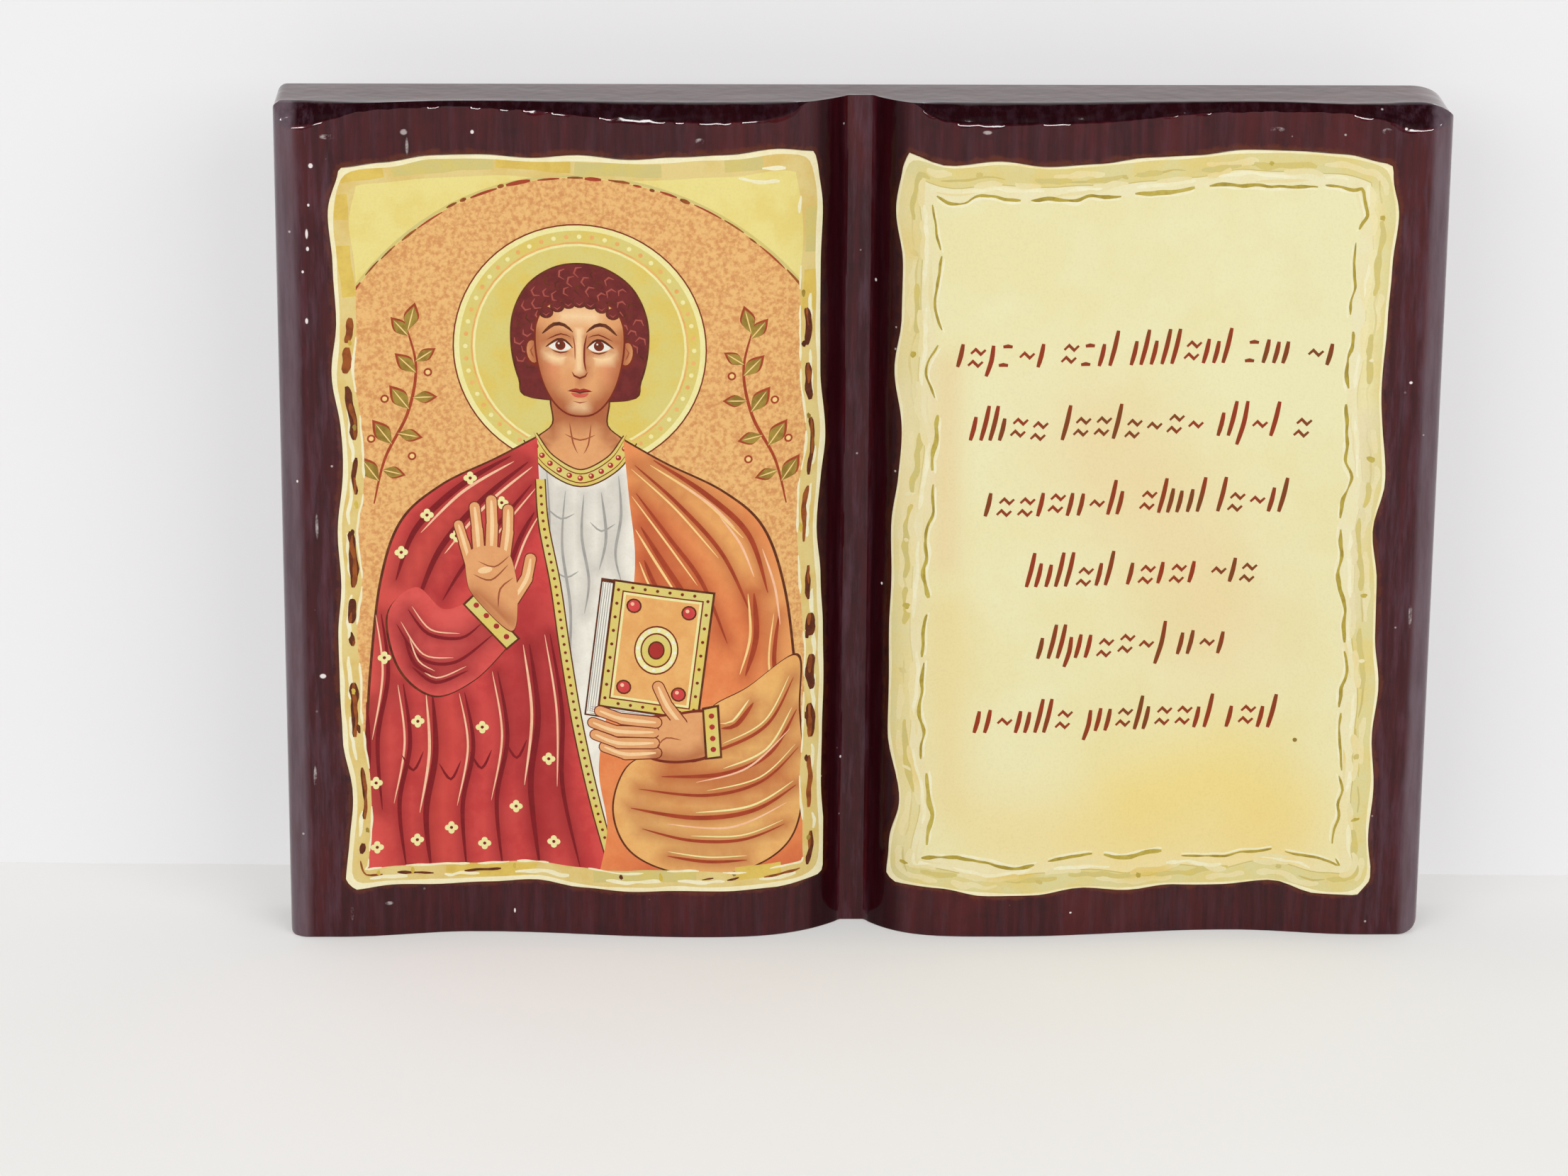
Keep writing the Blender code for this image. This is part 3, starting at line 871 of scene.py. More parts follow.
def paint_ground(sheet):
    """The arch with its spandrels, a broken outline and a sprig on either side."""
    sheet.fill("spandrel", inset(sheet.outline, 0.4))
    arch = oval(0, ARCH_MIDDLE, ARCH_RADIUS, ARCH_RADIUS, 120)[:61]
    sheet.fill("ground", arch + [(-ARCH_RADIUS, 0), (ARCH_RADIUS, 0)])
    sheet.ring("patch_grey", 0, ARCH_MIDDLE, ARCH_RADIUS + 0.35, 0.5, 8, 172)
    dashes = random.Random(5)
    angle = 4.0
    while angle < 176:
        reach = dashes.uniform(1.0, 7.5)
        turns = [math.radians(angle + reach * k / 3) for k in range(4)]
        wide = ARCH_RADIUS + dashes.uniform(-0.15, 0.2)
        line = [(wide * math.cos(a), ARCH_MIDDLE + wide * math.sin(a)) for a in turns]
        bold = 0.75 if 60 < angle < 115 else 0.5
        sheet.line(dashes.choice(("amber", "orange_dark", "amber")), line, dashes.uniform(0.25, bold), 0.5)
        angle += reach + dashes.uniform(0.2, 1.8)
    for side in (-1, 1):
        paint_sprig(sheet, side)


def paint_sprig(sheet, side):
    stem = [(35.5, 80), (33.5, 88), (29.5, 96), (28, 104), (29.5, 111)]
    sheet.line("orange_dark", sided(stem, side), 0.55, 0.6)
    leaves = (
        (34.6, 84, 37.8, 88.5), (34, 86, 30, 84.8), (32.3, 90.5, 35.6, 95), (31.3, 92.4, 27, 91.4),
        (29.3, 96.6, 32.6, 101), (28.6, 98.6, 24.4, 98.6), (28, 103, 31.6, 106.6), (28.1, 105, 24.6, 107.2),
        (29.2, 109.5, 32.2, 113), (29.3, 110.5, 28, 115.4),
    )
    for x, z, tip_x, tip_z in leaves:
        paint_leaf(sheet, Vector((side * x, z)), Vector((side * tip_x, tip_z)))
    for x, z in ((33.4, 98.6), (26, 103), (35.8, 91.6), (28.9, 88.2)):
        sheet.dot("orange_dark", side * x, z, 0.75, 12)
        sheet.dot("orange_light", side * x, z, 0.42)


def paint_leaf(sheet, foot, tip):
    along = tip - foot
    aside = Vector((-along.y, along.x)) * 0.26
    middle = foot + along * 0.5
    leaf = [foot, foot, middle + aside, tip, tip, middle - aside]
    sheet.outlined("olive", [foot.lerp(point, 0.86) for point in leaf], leaf, "orange_dark", 0.5)
    sheet.line("orange_light", [foot, foot.lerp(tip, 0.8)], 0.22)


def paint_halo(sheet, x, z, radius):
    for ink, growth in (("brown", 0.75), ("gold_light", 0.5), ("gold", -0.4)):
        sheet.dot(ink, x, z, radius + growth, 72)
    sheet.ring("ochre", x, z, radius - 2.5, 0.3)
    sheet.ring("gold_light", x, z, radius - 2.9, 0.4)
    reach = radius - 1.45
    for step in range(56):
        angle = 2 * math.pi * step / 56
        ink = "ochre" if step % 2 else "gold_light"
        sheet.dot(ink, x + reach * math.cos(angle), z + reach * math.sin(angle), 0.4)


def paint_hair(sheet):
    right = [(8.0, 98.6), (10.3, 102), (11.5, 107.5), (11.2, 113.2), (8.8, 118.2), (4.6, 121.3)]
    outer = curve(right + [(0, 122.2)] + mirrored(right))
    sheet.fill("umber", grown(outer, 1.03, 1.02, (0, 108)))
    sheet.fill("hair", outer)
    strands = random.Random(12)
    for row, reach in enumerate((10.2, 8.9, 7.6)):
        for step in range(15):
            angle = math.radians(-14 + (208 / 14) * (step + 0.5 * (row % 2)))
            x, z = reach * 1.02 * math.cos(angle), 108.6 + reach * 1.2 * math.sin(angle)
            if z < 100.5:
                continue
            turns = [angle + math.pi / 2 + t for t in (-2.0, -0.9, 0.2, 1.4)]
            size = strands.uniform(0.75, 1.0)
            curl = [(x + size * math.cos(turn), z + size * math.sin(turn)) for turn in turns]
            sheet.line("hair_light" if (step + row) % 3 else "umber", curl, 0.34, 0.7)


def paint_fringe(sheet):
    """A row of small curls over the forehead."""
    for k in range(7):
        x = (k - 3) * 1.9
        z = 115.6 - 0.06 * x * x
        sheet.fill("umber", oval(x, z, 1.25, 1.05, 14))
        sheet.fill("hair", oval(x, z + 0.12, 1.08, 0.92, 14))
        sheet.line("hair_light", [(x - 0.6, z - 0.1), (x, z - 0.5), (x + 0.6, z)], 0.24)


# Soft shades of the face, those beside the middle on both sides: colour, radius, strength and line.
DIM, BRIGHT, FLUSH = (178, 98, 58), (252, 218, 168), (226, 116, 84)
SIDE_SHADES = (
    (DIM, 1.6, 0.9, [(7.6, 110), (7.1, 104.5), (5.2, 99.4), (2.6, 96.4)]),
    (DIM, 1.0, 0.7, [(1.5, 109.2), (3.3, 110), (5.6, 109)]),
    (DIM, 0.6, 0.55, [(2.2, 106.6), (3.6, 106.3), (5, 106.9)]),
    (FLUSH, 1.2, 0.45, [(4.6, 103.2), (4.9, 104)]),
    (BRIGHT, 0.8, 0.85, [(2.9, 105.3), (4.6, 105.6), (5.6, 106.6)]),
)
MIDDLE_SHADES = (
    (DIM, 0.7, 0.7, [(1.3, 108), (1.3, 104.2), (0.3, 102.2)]),
    (DIM, 0.8, 0.5, [(0, 101.4), (0, 101.0)]),
    (BRIGHT, 1.4, 0.85, [(-2.4, 113), (0, 113.4), (2.4, 113)]),
    (BRIGHT, 0.6, 0.95, [(-0.15, 111), (-0.15, 104)]),
    (BRIGHT, 0.9, 0.7, [(-0.6, 97.3), (0.6, 97.3)]),
)
# Drawn lines of the face: ink, width, taper and line.
EYE_LINES = (
    ("umber", 0.46, 0.7, [(1.2, 107.5), (2.4, 108.75), (3.8, 108.95), (5.8, 107.6)]),
    ("brown", 0.26, 0.85, [(1.9, 106.95), (3.3, 106.6), (4.8, 107.1)]),
    ("brown", 0.24, 0.85, [(1.5, 109.4), (3.2, 109.95), (5.6, 108.9)]),
    ("umber", 0.66, 0.8, [(1.15, 110.3), (2.6, 111.5), (4.4, 111.6), (6.4, 109.9)]),
    ("skin_light", 0.3, 0.85, [(2.2, 105.9), (3.8, 105.5), (5.2, 105.9)]),
)
NOSE_LINES = (
    ("brown", 0.34, 0.85, [(1.3, 110), (0.85, 108), (0.8, 105), (1.15, 103.4)]),
    ("skin_dark", 0.22, 0.85, [(-1.2, 109.8), (-0.85, 108), (-0.8, 105.4)]),
    ("skin_light", 0.42, 0.5, [(-0.1, 110.6), (-0.05, 107), (-0.1, 103.8)]),
    ("brown", 0.38, 0.85, [(-1.35, 103.3), (-0.95, 102.6), (0, 102.2), (0.95, 102.6), (1.35, 103.3)]),
)
MOUTH_LINES = (
    ("umber", 0.3, 0.85, [(-2.15, 99.9), (-0.7, 99.8), (0, 99.62), (0.7, 99.8), (2.15, 99.9)]),
    ("skin_dark", 0.26, 0.85, [(-1.2, 98.1), (0, 97.85), (1.2, 98.1)]),
)


def paint_face(sheet):
    for side in (-1, 1):
        sheet.fill("brown", oval(side * 7.85, 106.6, 1.5, 2.5, 18, side * -0.14))
        sheet.fill("skin", oval(side * 8.0, 106.7, 1.05, 2.0, 16, side * -0.14))
        sheet.line("skin_dark", [(side * 7.8, 107.9), (side * 8.4, 106.9), (side * 7.8, 105.6)], 0.3)
    jaw = [(2.2, 96.0), (4.2, 97.7), (5.9, 100.6), (7.0, 104.4), (7.5, 108.8), (7.1, 112.2), (5.2, 114.9)]
    face = curve([(0, 95.6)] + jaw + [(0, 116)] + mirrored(jaw))
    sheet.fill("brown", grown(face, 1.045, 1.03, (0, 106)))
    sheet.fill("skin", face)
    for side in (-1, 1):
        sheet.shades(["skin"], SIDE_SHADES, side)
    sheet.shades(["skin"], MIDDLE_SHADES)
    for side in (-1, 1):
        paint_eye(sheet, side)
    sheet.strokes(NOSE_LINES)
    upper_lip = [(-2.0, 99.9), (-0.7, 100.4), (0, 100.2), (0.7, 100.4), (2.0, 99.9), (0, 99.65)]
    lower_lip = [(-1.5, 99.6), (0, 99.5), (1.5, 99.6), (0.8, 98.85), (-0.8, 98.85)]
    sheet.fill("lips", curve(upper_lip, step=0.4))
    sheet.fill("lips_light", curve(lower_lip, step=0.4))
    sheet.strokes(MOUTH_LINES)
    paint_fringe(sheet)


def paint_eye(sheet, side):
    eye = [(1.4, 107.7), (2.4, 108.65), (3.7, 108.8), (5.3, 107.7), (3.9, 107.0), (2.5, 106.95)]
    middle = side * 3.3
    sheet.fill("white", curve(sided(eye, side), step=0.3))
    sheet.dot("brown", middle, 107.95, 0.88, 18)
    sheet.fill("umber", oval(middle, 107.95, 0.48, 0.5, 12))
    sheet.dot("white", middle - 0.28, 108.25, 0.17, 8)
    sheet.strokes(EYE_LINES, side)


def paint_neck(sheet):
    right = [(4.3, 99.5), (4.6, 94), (7.4, 90.2)]
    wide = grown(right, 1.06, 1)
    neck, edge = right + [(0, 84.4)] + mirrored(right), wide + [(0, 84)] + mirrored(wide)
    sheet.outlined("skin", neck, edge)
    tone = (170, 92, 54)
    sheet.shades(["skin"], [(tone, 2.2, 0.9, [(-4, 97), (0, 95), (4, 97)])])
    for side in (1, -1):
        sheet.shades(["skin"], [(tone, 1.3, 0.8, [(4.6, 95), (5, 92), (7, 90)])], side)
    creases = (
        [(-2.6, 92.2), (0, 91.2), (2.6, 92.2)], [(-1.8, 94.2), (-1.2, 90.6), (-0.4, 88.8)],
        [(1.9, 94), (1.4, 90.4), (0.6, 88.8)],
    )
    sheet.lines("skin_dark", 0.28, *creases)


def fold(sheet, cloth, dark, light, points, width, side=1.0):
    """A painted fold: a dark line in its own soft shade, with a thin light along one side."""
    sheet.shades([cloth], [(INKS[dark][0], 1.7, 0.55, points)])
    sheet.line(dark, points, width)
    line = np.array(points, float)
    beside = line + sideways(line) * side * (width * 0.5 + 0.55)
    sheet.line(light, [tuple(p) for p in beside[: max(3, len(beside) - 1)]], width * 0.45)


def trim(sheet, points, dark_width, gold_width, taper):
    """A golden band with dark edges along a garment."""
    sheet.line("umber", points, dark_width, taper)
    sheet.line("gold", points, gold_width, taper)


def paint_tunic(sheet):
    edge = [(-8.6, 88.6), (0, 84.6), (8.8, 88.6), (14, 70), (13, 16), (-11, 16), (-11, 70)]
    body = [(-8.4, 88.4), (0, 84.4), (8.6, 88.4), (13.6, 70), (12.6, 16.4), (-10.6, 16.4), (-10.6, 70)]
    sheet.outlined("white", body, edge)
    folds = (
        [(-5.8, 86), (-5.4, 76), (-6.2, 64), (-5.2, 50)], [(-2.6, 82), (-3.2, 72), (-1.8, 60), (-2.4, 46)],
        [(0.6, 81.5), (0.2, 74), (1.4, 66), (0.6, 60)], [(3.6, 82), (4.4, 74), (3.2, 68)],
        [(6.6, 85), (7, 78), (6, 71), (7, 66)], [(-8, 84), (-8.4, 70), (-8, 56)],
    )
    for points in folds:
        sheet.shades(["white"], [((190, 184, 176), 1.3, 0.55, points)])
    sheet.lines("grey", 0.5, *folds)
    creases = (
        [(-6, 79), (-3.4, 77), (-1, 78)], [(1.6, 76.6), (3.6, 75), (6, 76.4)],
        [(-5, 68), (-2.6, 66.4), (-0.4, 67.6)],
    )
    sheet.lines("grey", 0.34, *creases)
    collar = [(-8.6, 91.6), (-5.6, 87.2), (0, 84.4), (5.6, 87.2), (8.6, 91.6)]
    trim(sheet, collar, 3.3, 2.8, 0.15)
    sheet.line("brown", grown(collar, 0.93, 1, shift=(0, 0.75)), 0.2)
    sheet.line("brown", grown(collar, 1.05, 1, shift=(0, -0.85)), 0.2)
    for x, z in resampled(curve(collar, False), 1.9, False)[1:-1]:
        sheet.dot("lips", x, z, 0.5)
        sheet.dot("rose", x - 0.12, z + 0.12, 0.2, 8)


def paint_crimson(sheet):
    """The red cloak over one shoulder."""
    outer = [
        (-7.4, 91.4), (-7.4, 91.4), (-14.5, 87.4), (-24, 82.6), (-30.8, 76.5), (-34.4, 66), (-36.4, 50),
        (-38, 30), (-41, 8), (-41, 8), (8, 8), (8, 8), (3, 22), (-0.5, 38), (-2.8, 52), (-4.4, 64),
        (-6.6, 76),
    ]
    sheet.outlined("crimson", outer, grown(outer, 1.008, 1, shift=(-0.15, 0.25)))
    sheet.shades(["crimson"], (
        ((222, 92, 80), 4.5, 0.55, [(-33, 68), (-36, 50), (-38, 30), (-38, 14)]),
        ((214, 84, 70), 4, 0.6, [(-13, 84), (-22, 78), (-27, 70)]),
        ((150, 28, 34), 5, 0.5, [(-10, 60), (-9, 40), (-6, 20)]),
        ((212, 80, 66), 3.5, 0.5, [(-24, 40), (-25, 26), (-26, 12)]),
    ))
    folds = (
        [(-9, 87), (-17, 80), (-24.5, 71), (-29, 60)], [(-8.4, 83), (-14, 76), (-20, 68.5), (-24, 62)],
        [(-8, 78), (-10.6, 73), (-13, 66)], [(-12, 88), (-21, 82.4), (-28.5, 75), (-32, 66)],
        [(-34.6, 60), (-33.6, 49), (-35.6, 37), (-35, 24)], [(-31, 47), (-30, 36), (-32, 25), (-31, 13)],
        [(-26, 45), (-25.6, 34), (-27.4, 23), (-26.6, 12)], [(-20.4, 45), (-19, 35), (-21, 24), (-20.4, 12)],
        [(-14.6, 49), (-13, 37), (-15, 25), (-14, 12)], [(-9, 54), (-7.6, 41), (-9, 28), (-7.4, 12)],
        [(-5.4, 56), (-3.4, 42), (-3.4, 28), (-0.4, 13)], [(-37.4, 44), (-37.2, 34), (-38.4, 24)],
    )
    for index, points in enumerate(folds):
        width = 0.8 if index % 3 else 1.1
        fold(sheet, "crimson", "crimson_dark", "rose", points, width, 1 if index < 4 else -1)
    for x, z in ((-29.5, 31), (-23, 29), (-17.6, 31), (-11.4, 33)):
        sheet.line("crimson_dark", [(x - 2, z + 3), (x, z), (x + 1.8, z + 3.4)], 0.5)
    hem = [(-6.9, 84), (-6.4, 76), (-4.4, 65), (-2.8, 53), (-0.6, 39), (2.6, 24), (6.4, 10)]
    trim(sheet, hem, 2.1, 1.6, 0.1)
    for x, z in resampled(curve(hem, False), 1.5, False)[1:]:
        sheet.dot("brown", x, z, 0.28, 8)
    paint_flowers(sheet)


def paint_flowers(sheet):
    """Small flowers of four golden petals strewn over the cloak."""
    flowers = (
        (-19, 84), (-26.5, 77.5), (-31, 71), (-13.6, 79.6), (-21.5, 73.6), (-34.2, 52), (-28.6, 40),
        (-36, 29), (-23, 20), (-17.4, 38.6), (-29, 18), (-11.6, 24), (-17.2, 17), (-5.8, 33), (-5, 17.6),
        (-36, 17),
    )
    for x, z in flowers:
        for dx, dz in ((0.62, 0), (-0.62, 0), (0, 0.62), (0, -0.62)):
            sheet.dot("gold_light", x + dx, z + dz, 0.55)
        sheet.dot("crimson_dark", x, z, 0.3, 8)


def capsule(a, b, width, count=7):
    """A finger-like shape with round ends."""
    a, b = Vector(a), Vector(b)
    turn = math.atan2(b.y - a.y, b.x - a.x)
    made = []
    for middle, first in ((a, turn + math.pi / 2), (b, turn - math.pi / 2)):
        for step in range(count):
            angle = first + math.pi * step / (count - 1)
            made.append((middle.x + width / 2 * math.cos(angle), middle.y + width / 2 * math.sin(angle)))
    return made


def finger(sheet, base, knuckle, tip, width):
    for colour, wide in (("brown", width + 0.42), ("skin", width)):
        sheet.fill(colour, capsule(base, knuckle, wide))
        sheet.fill(colour, capsule(knuckle, tip, wide * 0.92))
    sheet.line("skin_light", [base, knuckle, tip], width * 0.34, 0.6)


def paint_sleeve(sheet):
    sleeve = [
        (-33.4, 60), (-31.6, 50), (-25.6, 44.6), (-18.6, 47.4), (-12.6, 53.8), (-12.6, 53.8), (-19.6, 61.6),
        (-19.6, 61.6), (-24, 60.4), (-28.6, 64.6),
    ]
    sheet.outlined("crimson_lit", sleeve, grown(sleeve, 1.02, 1, shift=(0.3, -0.3)))
    folds = (
        [(-32, 58), (-28, 51.6), (-22, 50.6), (-15.4, 55.6)],
        [(-30, 60.6), (-26.6, 56), (-21, 55), (-17.4, 57.6)],
        [(-29.4, 50), (-25.4, 47), (-19.8, 49)], [(-30.6, 55), (-29, 50.6), (-26, 48.4)],
    )
    for points in folds:
        fold(sheet, "crimson_lit", "crimson_dark", "rose", points, 0.6)
    sheet.fill("umber", [(-20.6, 61.2), (-13, 52.8), (-10.6, 55), (-18.2, 63.5)])
    sheet.fill("gold", [(-20.1, 61.1), (-13, 53.3), (-11.1, 55), (-18.2, 63)])
    for share in (0.14, 0.38, 0.62, 0.86):
        sheet.dot("lips", -19.2 + 7.2 * share, 62.1 - 7.9 * share, 0.5)


def paint_raised_hand(sheet):
    palm = [
        (-18.4, 62.4), (-19.8, 66), (-19.6, 70.4), (-16.4, 71.8), (-12.8, 70.8), (-11.4, 67), (-11, 61.6),
        (-12.2, 56.4),
    ]
    sheet.fill("brown", curve(grown(palm, 1.02, 1.03, (0, 65), (0.3, 0)), step=0.5))
    for base, knuckle, tip, width in (
        ((-13.2, 70), (-12.6, 74.4), (-12.5, 78.4), 1.95), ((-15.5, 70.6), (-15.3, 75.6), (-15.4, 80), 2.0),
        ((-17.6, 70), (-17.9, 74.8), (-18.3, 78.8), 1.9), ((-19.2, 68.6), (-20.2, 72.4), (-21.1, 75.6), 1.7),
        ((-11.8, 62), (-9.4, 66), (-8.7, 69.6), 2.0),
    ):
        finger(sheet, base, knuckle, tip, width)
    sheet.fill("skin", curve(palm, step=0.5))
    sheet.shades(["skin"], [((176, 98, 56), 1.6, 0.8, [(-18.8, 63), (-16, 61), (-12.6, 58)])])
    sheet.strokes((
        ("skin_dark", 0.3, 0.85, [(-18.6, 66.6), (-15.6, 65.6), (-12.6, 68.4)]),
        ("skin_dark", 0.26, 0.85, [(-17.8, 69), (-15, 68), (-12.4, 70)]),
        ("skin_dark", 0.32, 0.85, [(-11.8, 66), (-14, 64), (-14.4, 60.6)]),
    ))
    sheet.fill("skin_light", oval(-16.6, 67.4, 1.3, 0.6, 12, 0.2))


def paint_orange(sheet):
    """The orange cloak over the other shoulder."""
    outer = [
        (7.4, 91.4), (7.4, 91.4), (14.5, 87.4), (24.4, 82.4), (31.2, 76), (35, 65), (37, 50), (38.6, 30),
        (42, 8), (42, 8), (2, 8), (2, 8), (4.4, 20), (3, 32), (5.4, 46), (8.2, 58), (9.4, 70), (8.4, 81),
    ]
    sheet.outlined("orange", outer, grown(outer, 1.008, 1, shift=(0.15, 0.25)))
    sheet.shades(["orange"], (
        ((246, 192, 112), 4.5, 0.7, [(13, 85), (22, 79), (28, 70)]),
        ((246, 186, 112), 3, 0.6, [(33, 66), (35.4, 52), (36.4, 40)]),
        ((206, 96, 60), 5, 0.45, [(12, 76), (14, 66), (20, 58)]),
        ((204, 88, 56), 5, 0.6, [(12, 12), (24, 11), (38, 12)]),
    ))
    folds = (
        [(9.4, 87), (17, 80), (24.6, 71), (29.6, 60)], [(12.6, 88), (21.6, 82), (29, 74.6), (32.4, 64)],
        [(9.6, 82), (15.4, 74), (21, 66), (25.4, 55)], [(10.4, 76), (14, 70), (18, 63.6), (21, 57)],
        [(34.4, 60), (33.6, 51), (35.4, 42)], [(30, 64), (30.4, 56), (28.6, 49)],
        [(11, 70), (12.6, 66), (14.6, 63)],
    )
    for index, points in enumerate(folds):
        fold(sheet, "orange", "orange_dark", "orange_light", points, 0.75 + 0.25 * (index % 2), -1)
    lit = (
        [(24, 78), (27.6, 73), (30, 67)], [(17, 84), (22.6, 80), (26.6, 76)],
        [(31.4, 72), (33.6, 65), (34.6, 58)],
    )
    sheet.lines("rose", 0.4, *lit)


def paint_drape(sheet):
    """The ochre cloth over the arm under the book."""
    cloth = [
        (37.4, 52), (38, 42), (38.8, 28), (36.4, 18), (28, 13), (17, 12.6), (8.6, 16.4), (5.6, 24), (8, 32),
        (13.6, 34.6), (20, 33.2), (23, 38), (22.6, 43), (28.6, 46.6),
    ]
    sheet.outlined("ochre", cloth, grown(cloth, 1.02, 1.016, (22, 30)))
    sheet.shades(["ochre"], (
        ((246, 204, 124), 3.5, 0.7, [(12, 22), (20, 17.6), (30, 20)]),
        ((244, 198, 116), 3, 0.6, [(35, 46), (32, 38), (24, 36)]),
        ((196, 96, 52), 2.6, 0.5, [(14, 33), (22, 30), (34, 30)]),
    ))
    folds = (
        [(37, 48), (32.6, 40), (25, 35.8), (16, 33.4)], [(37.6, 42), (33, 34.6), (25, 31), (14, 30.4)],
        [(38, 35), (31.6, 29.4), (22, 27), (10, 28)], [(37.6, 28), (30, 24), (20, 22.8), (8.6, 24.4)],
        [(35.6, 21), (28, 18.6), (19, 18.6), (10.6, 20.6)], [(30, 44), (27, 40), (24.4, 39.4)],
        [(29, 14.8), (22, 14.6), (15, 15.6)],
    )
    for index, points in enumerate(folds):
        fold(sheet, "ochre", "orange_dark", "gold_light", points, 0.6 + 0.25 * (index % 2), -1)
    sheet.lines("rose", 0.35, [(36.4, 38.6), (29, 32), (20, 29.4)], [(36, 25), (26, 21), (15, 21.6)])
    for x in (8.4, 16, 24, 31):
        sheet.line("orange_dark", [(x, 12.4), (x + 1.2, 9.6), (x + 0.8, 7)], 0.7)


COVER_MIDDLE = (12.6, 53.2)
COVER_TILT = math.radians(-7)


def on_cover(points):
    """Points counted from the middle of the held book's cover, placed on the sheet."""
    return [placed(*COVER_MIDDLE, x, z, COVER_TILT) for x, z in points]


def cover_panel(sheet, ink, half_width, half_height, x, z):
    corners = ((-1, -1), (1, -1), (1, 1), (-1, 1))
    sheet.fill(ink, on_cover([(x + across * half_width, z + up * half_height) for across, up in corners]))


def cover_dot(sheet, ink, x, z, radius, count=8):
    sheet.fill(ink, on_cover(oval(x, z, radius, radius, count)))


def paint_book(sheet):
    """A closed book with a jewelled cover, held from below."""
    cover_panel(sheet, "umber", 9.9, 12.7, -0.7, -0.5)
    cover_panel(sheet, "white", 9.4, 12.2, -0.9, -0.7)
    for k in range(4):
        x, z = -10.1 + 0.4 * k, -12.7 + 0.4 * k
        sheet.line("grey", on_cover([(x, -12.4), (x, 0), (x, 11.6)]), 0.16, 0.2)
        sheet.line("grey", on_cover([(-9.6, z), (0, z), (8.6, z)]), 0.16, 0.2)
    x, z = 0.4, 0.5
    for ink, half_width, half_height in (
        ("umber", 8.9, 11.8), ("gold", 8.5, 11.4), ("brown", 7.1, 10.0), ("gold_light", 6.85, 9.75),
        ("ochre", 6.4, 9.3),
    ):
        cover_panel(sheet, ink, half_width, half_height, x, z)
    for ink, radius in (
        ("brown", 4.5), ("gold_light", 4.2), ("brown", 3.2), ("gold", 2.9), ("umber", 1.7), ("lips", 1.4),
    ):
        sheet.fill(ink, on_cover(oval(x, z, radius * 0.86, radius, 30)))
    for step in range(12):
        angle = 2 * math.pi * step / 12
        cover_dot(sheet, "white", x + 3.2 * math.cos(angle), z + 3.7 * math.sin(angle), 0.3)
    for x, z in ((-4.4, -7), (5.2, -7), (-4.4, 8), (5.2, 8)):
        cover_dot(sheet, "umber", x, z, 1.35, 14)
        cover_dot(sheet, "crimson", x, z, 1.05, 14)
        cover_dot(sheet, "rose", x - 0.3, z + 0.3, 0.35)
    for k in range(9):
        for x in (-7.4, 8.2):
            cover_dot(sheet, "brown", x, -9.5 + 2.5 * k, 0.3)
    for k in range(6):
        for z in (-10.2, 11.2):
            cover_dot(sheet, "brown", -5.0 + 2.16 * k, z, 0.3)


def paint_holding_hand(sheet):
    edge = [(22.8, 42.4), (16, 42.2), (11, 41), (9.6, 37), (12, 33.6), (18, 33), (23.4, 35)]
    palm = [(22.4, 41.9), (16, 41.7), (11.2, 40.6), (10, 37), (12.2, 34), (18, 33.5), (23, 35.4)]
    sheet.outlined("skin", palm, edge, "brown", 0.6)
    for base, knuckle, tip in (
        ((13, 34.8), (7.6, 34.4), (4, 35.6)), ((12.6, 36.6), (6.4, 36.4), (2.4, 37.8)),
        ((12.6, 38.6), (6.2, 38.6), (2, 40)), ((13, 40.4), (7, 40.9), (3.2, 42.2)),
    ):
        finger(sheet, base, knuckle, tip, 1.9)
    finger(sheet, (17.4, 40.2), (15, 43.4), (13.4, 47), 2.0)
    sheet.fill("skin", oval(16.6, 38.4, 3.2, 2.6, 20))
    sheet.shades(["skin"], [((176, 98, 56), 1.4, 0.8, [(13, 34.2), (18, 33.6), (22.6, 36)])])
    sheet.line("skin_dark", [(13.2, 36), (14.8, 37.6), (17.4, 37.2)], 0.28)
    sheet.fill("umber", [(21.6, 33.6), (24.6, 33.9), (24, 43.8), (21, 43.2)])
    sheet.fill("gold", [(22, 34), (24.2, 34.3), (23.6, 43.3), (21.4, 42.8)])
    for share in (0.15, 0.38, 0.62, 0.85):
        sheet.dot("lips", 23.1 - 0.5 * share, 34.2 + 8.8 * share, 0.5)


def walk(path, dice, shortest, longest, gaps):
    """Runs of points along a closed line, with uneven gaps between them."""
    place = 0
    while place < len(path) - shortest:
        run = dice.randint(shortest, longest)
        yield [path[(place + k) % len(path)] for k in range(run + 1)]
        place += run + dice.choice(gaps)


def around(sheet, place, step, dice, *runs):
    """Runs of points along the sheet's outline, moved inwards as place says for inset."""
    return walk(resampled(inset(sheet.outline, *place), step), dice, *runs)


def shaken(points, dice, reach):
    return [(x + dice.uniform(-reach, reach), z + dice.uniform(-reach, reach)) for x, z in points]


def smear(points, dice, narrow, wide):
    """Outline of a ragged stroke whose width wanders between narrow and wide."""
    line = np.array(resampled(curve(points, closed=False), 0.7, closed=False))
    aside = sideways(line)
    places = np.arange(len(line))
    ends = np.minimum(1.0, 0.45 + np.minimum(places, places[::-1]) * 0.4)
    left, right = (ends * wander(len(line), dice, narrow, wide) / 2 for _ in range(2))
    made = np.concatenate((line + aside * left[:, None], (line - aside * right[:, None])[::-1]))
    return curve([tuple(p) for p in made], step=0.5)


def wander(count, dice, low, high):
    """Values that drift smoothly between low and high."""
    start = dice.uniform(0, 90)
    drift = np.array([waves(k, start, 3.2, 1, 2.2) for k in range(count)])
    return low + (high - low) * np.clip(0.5 + 0.9 * drift, 0, 1)


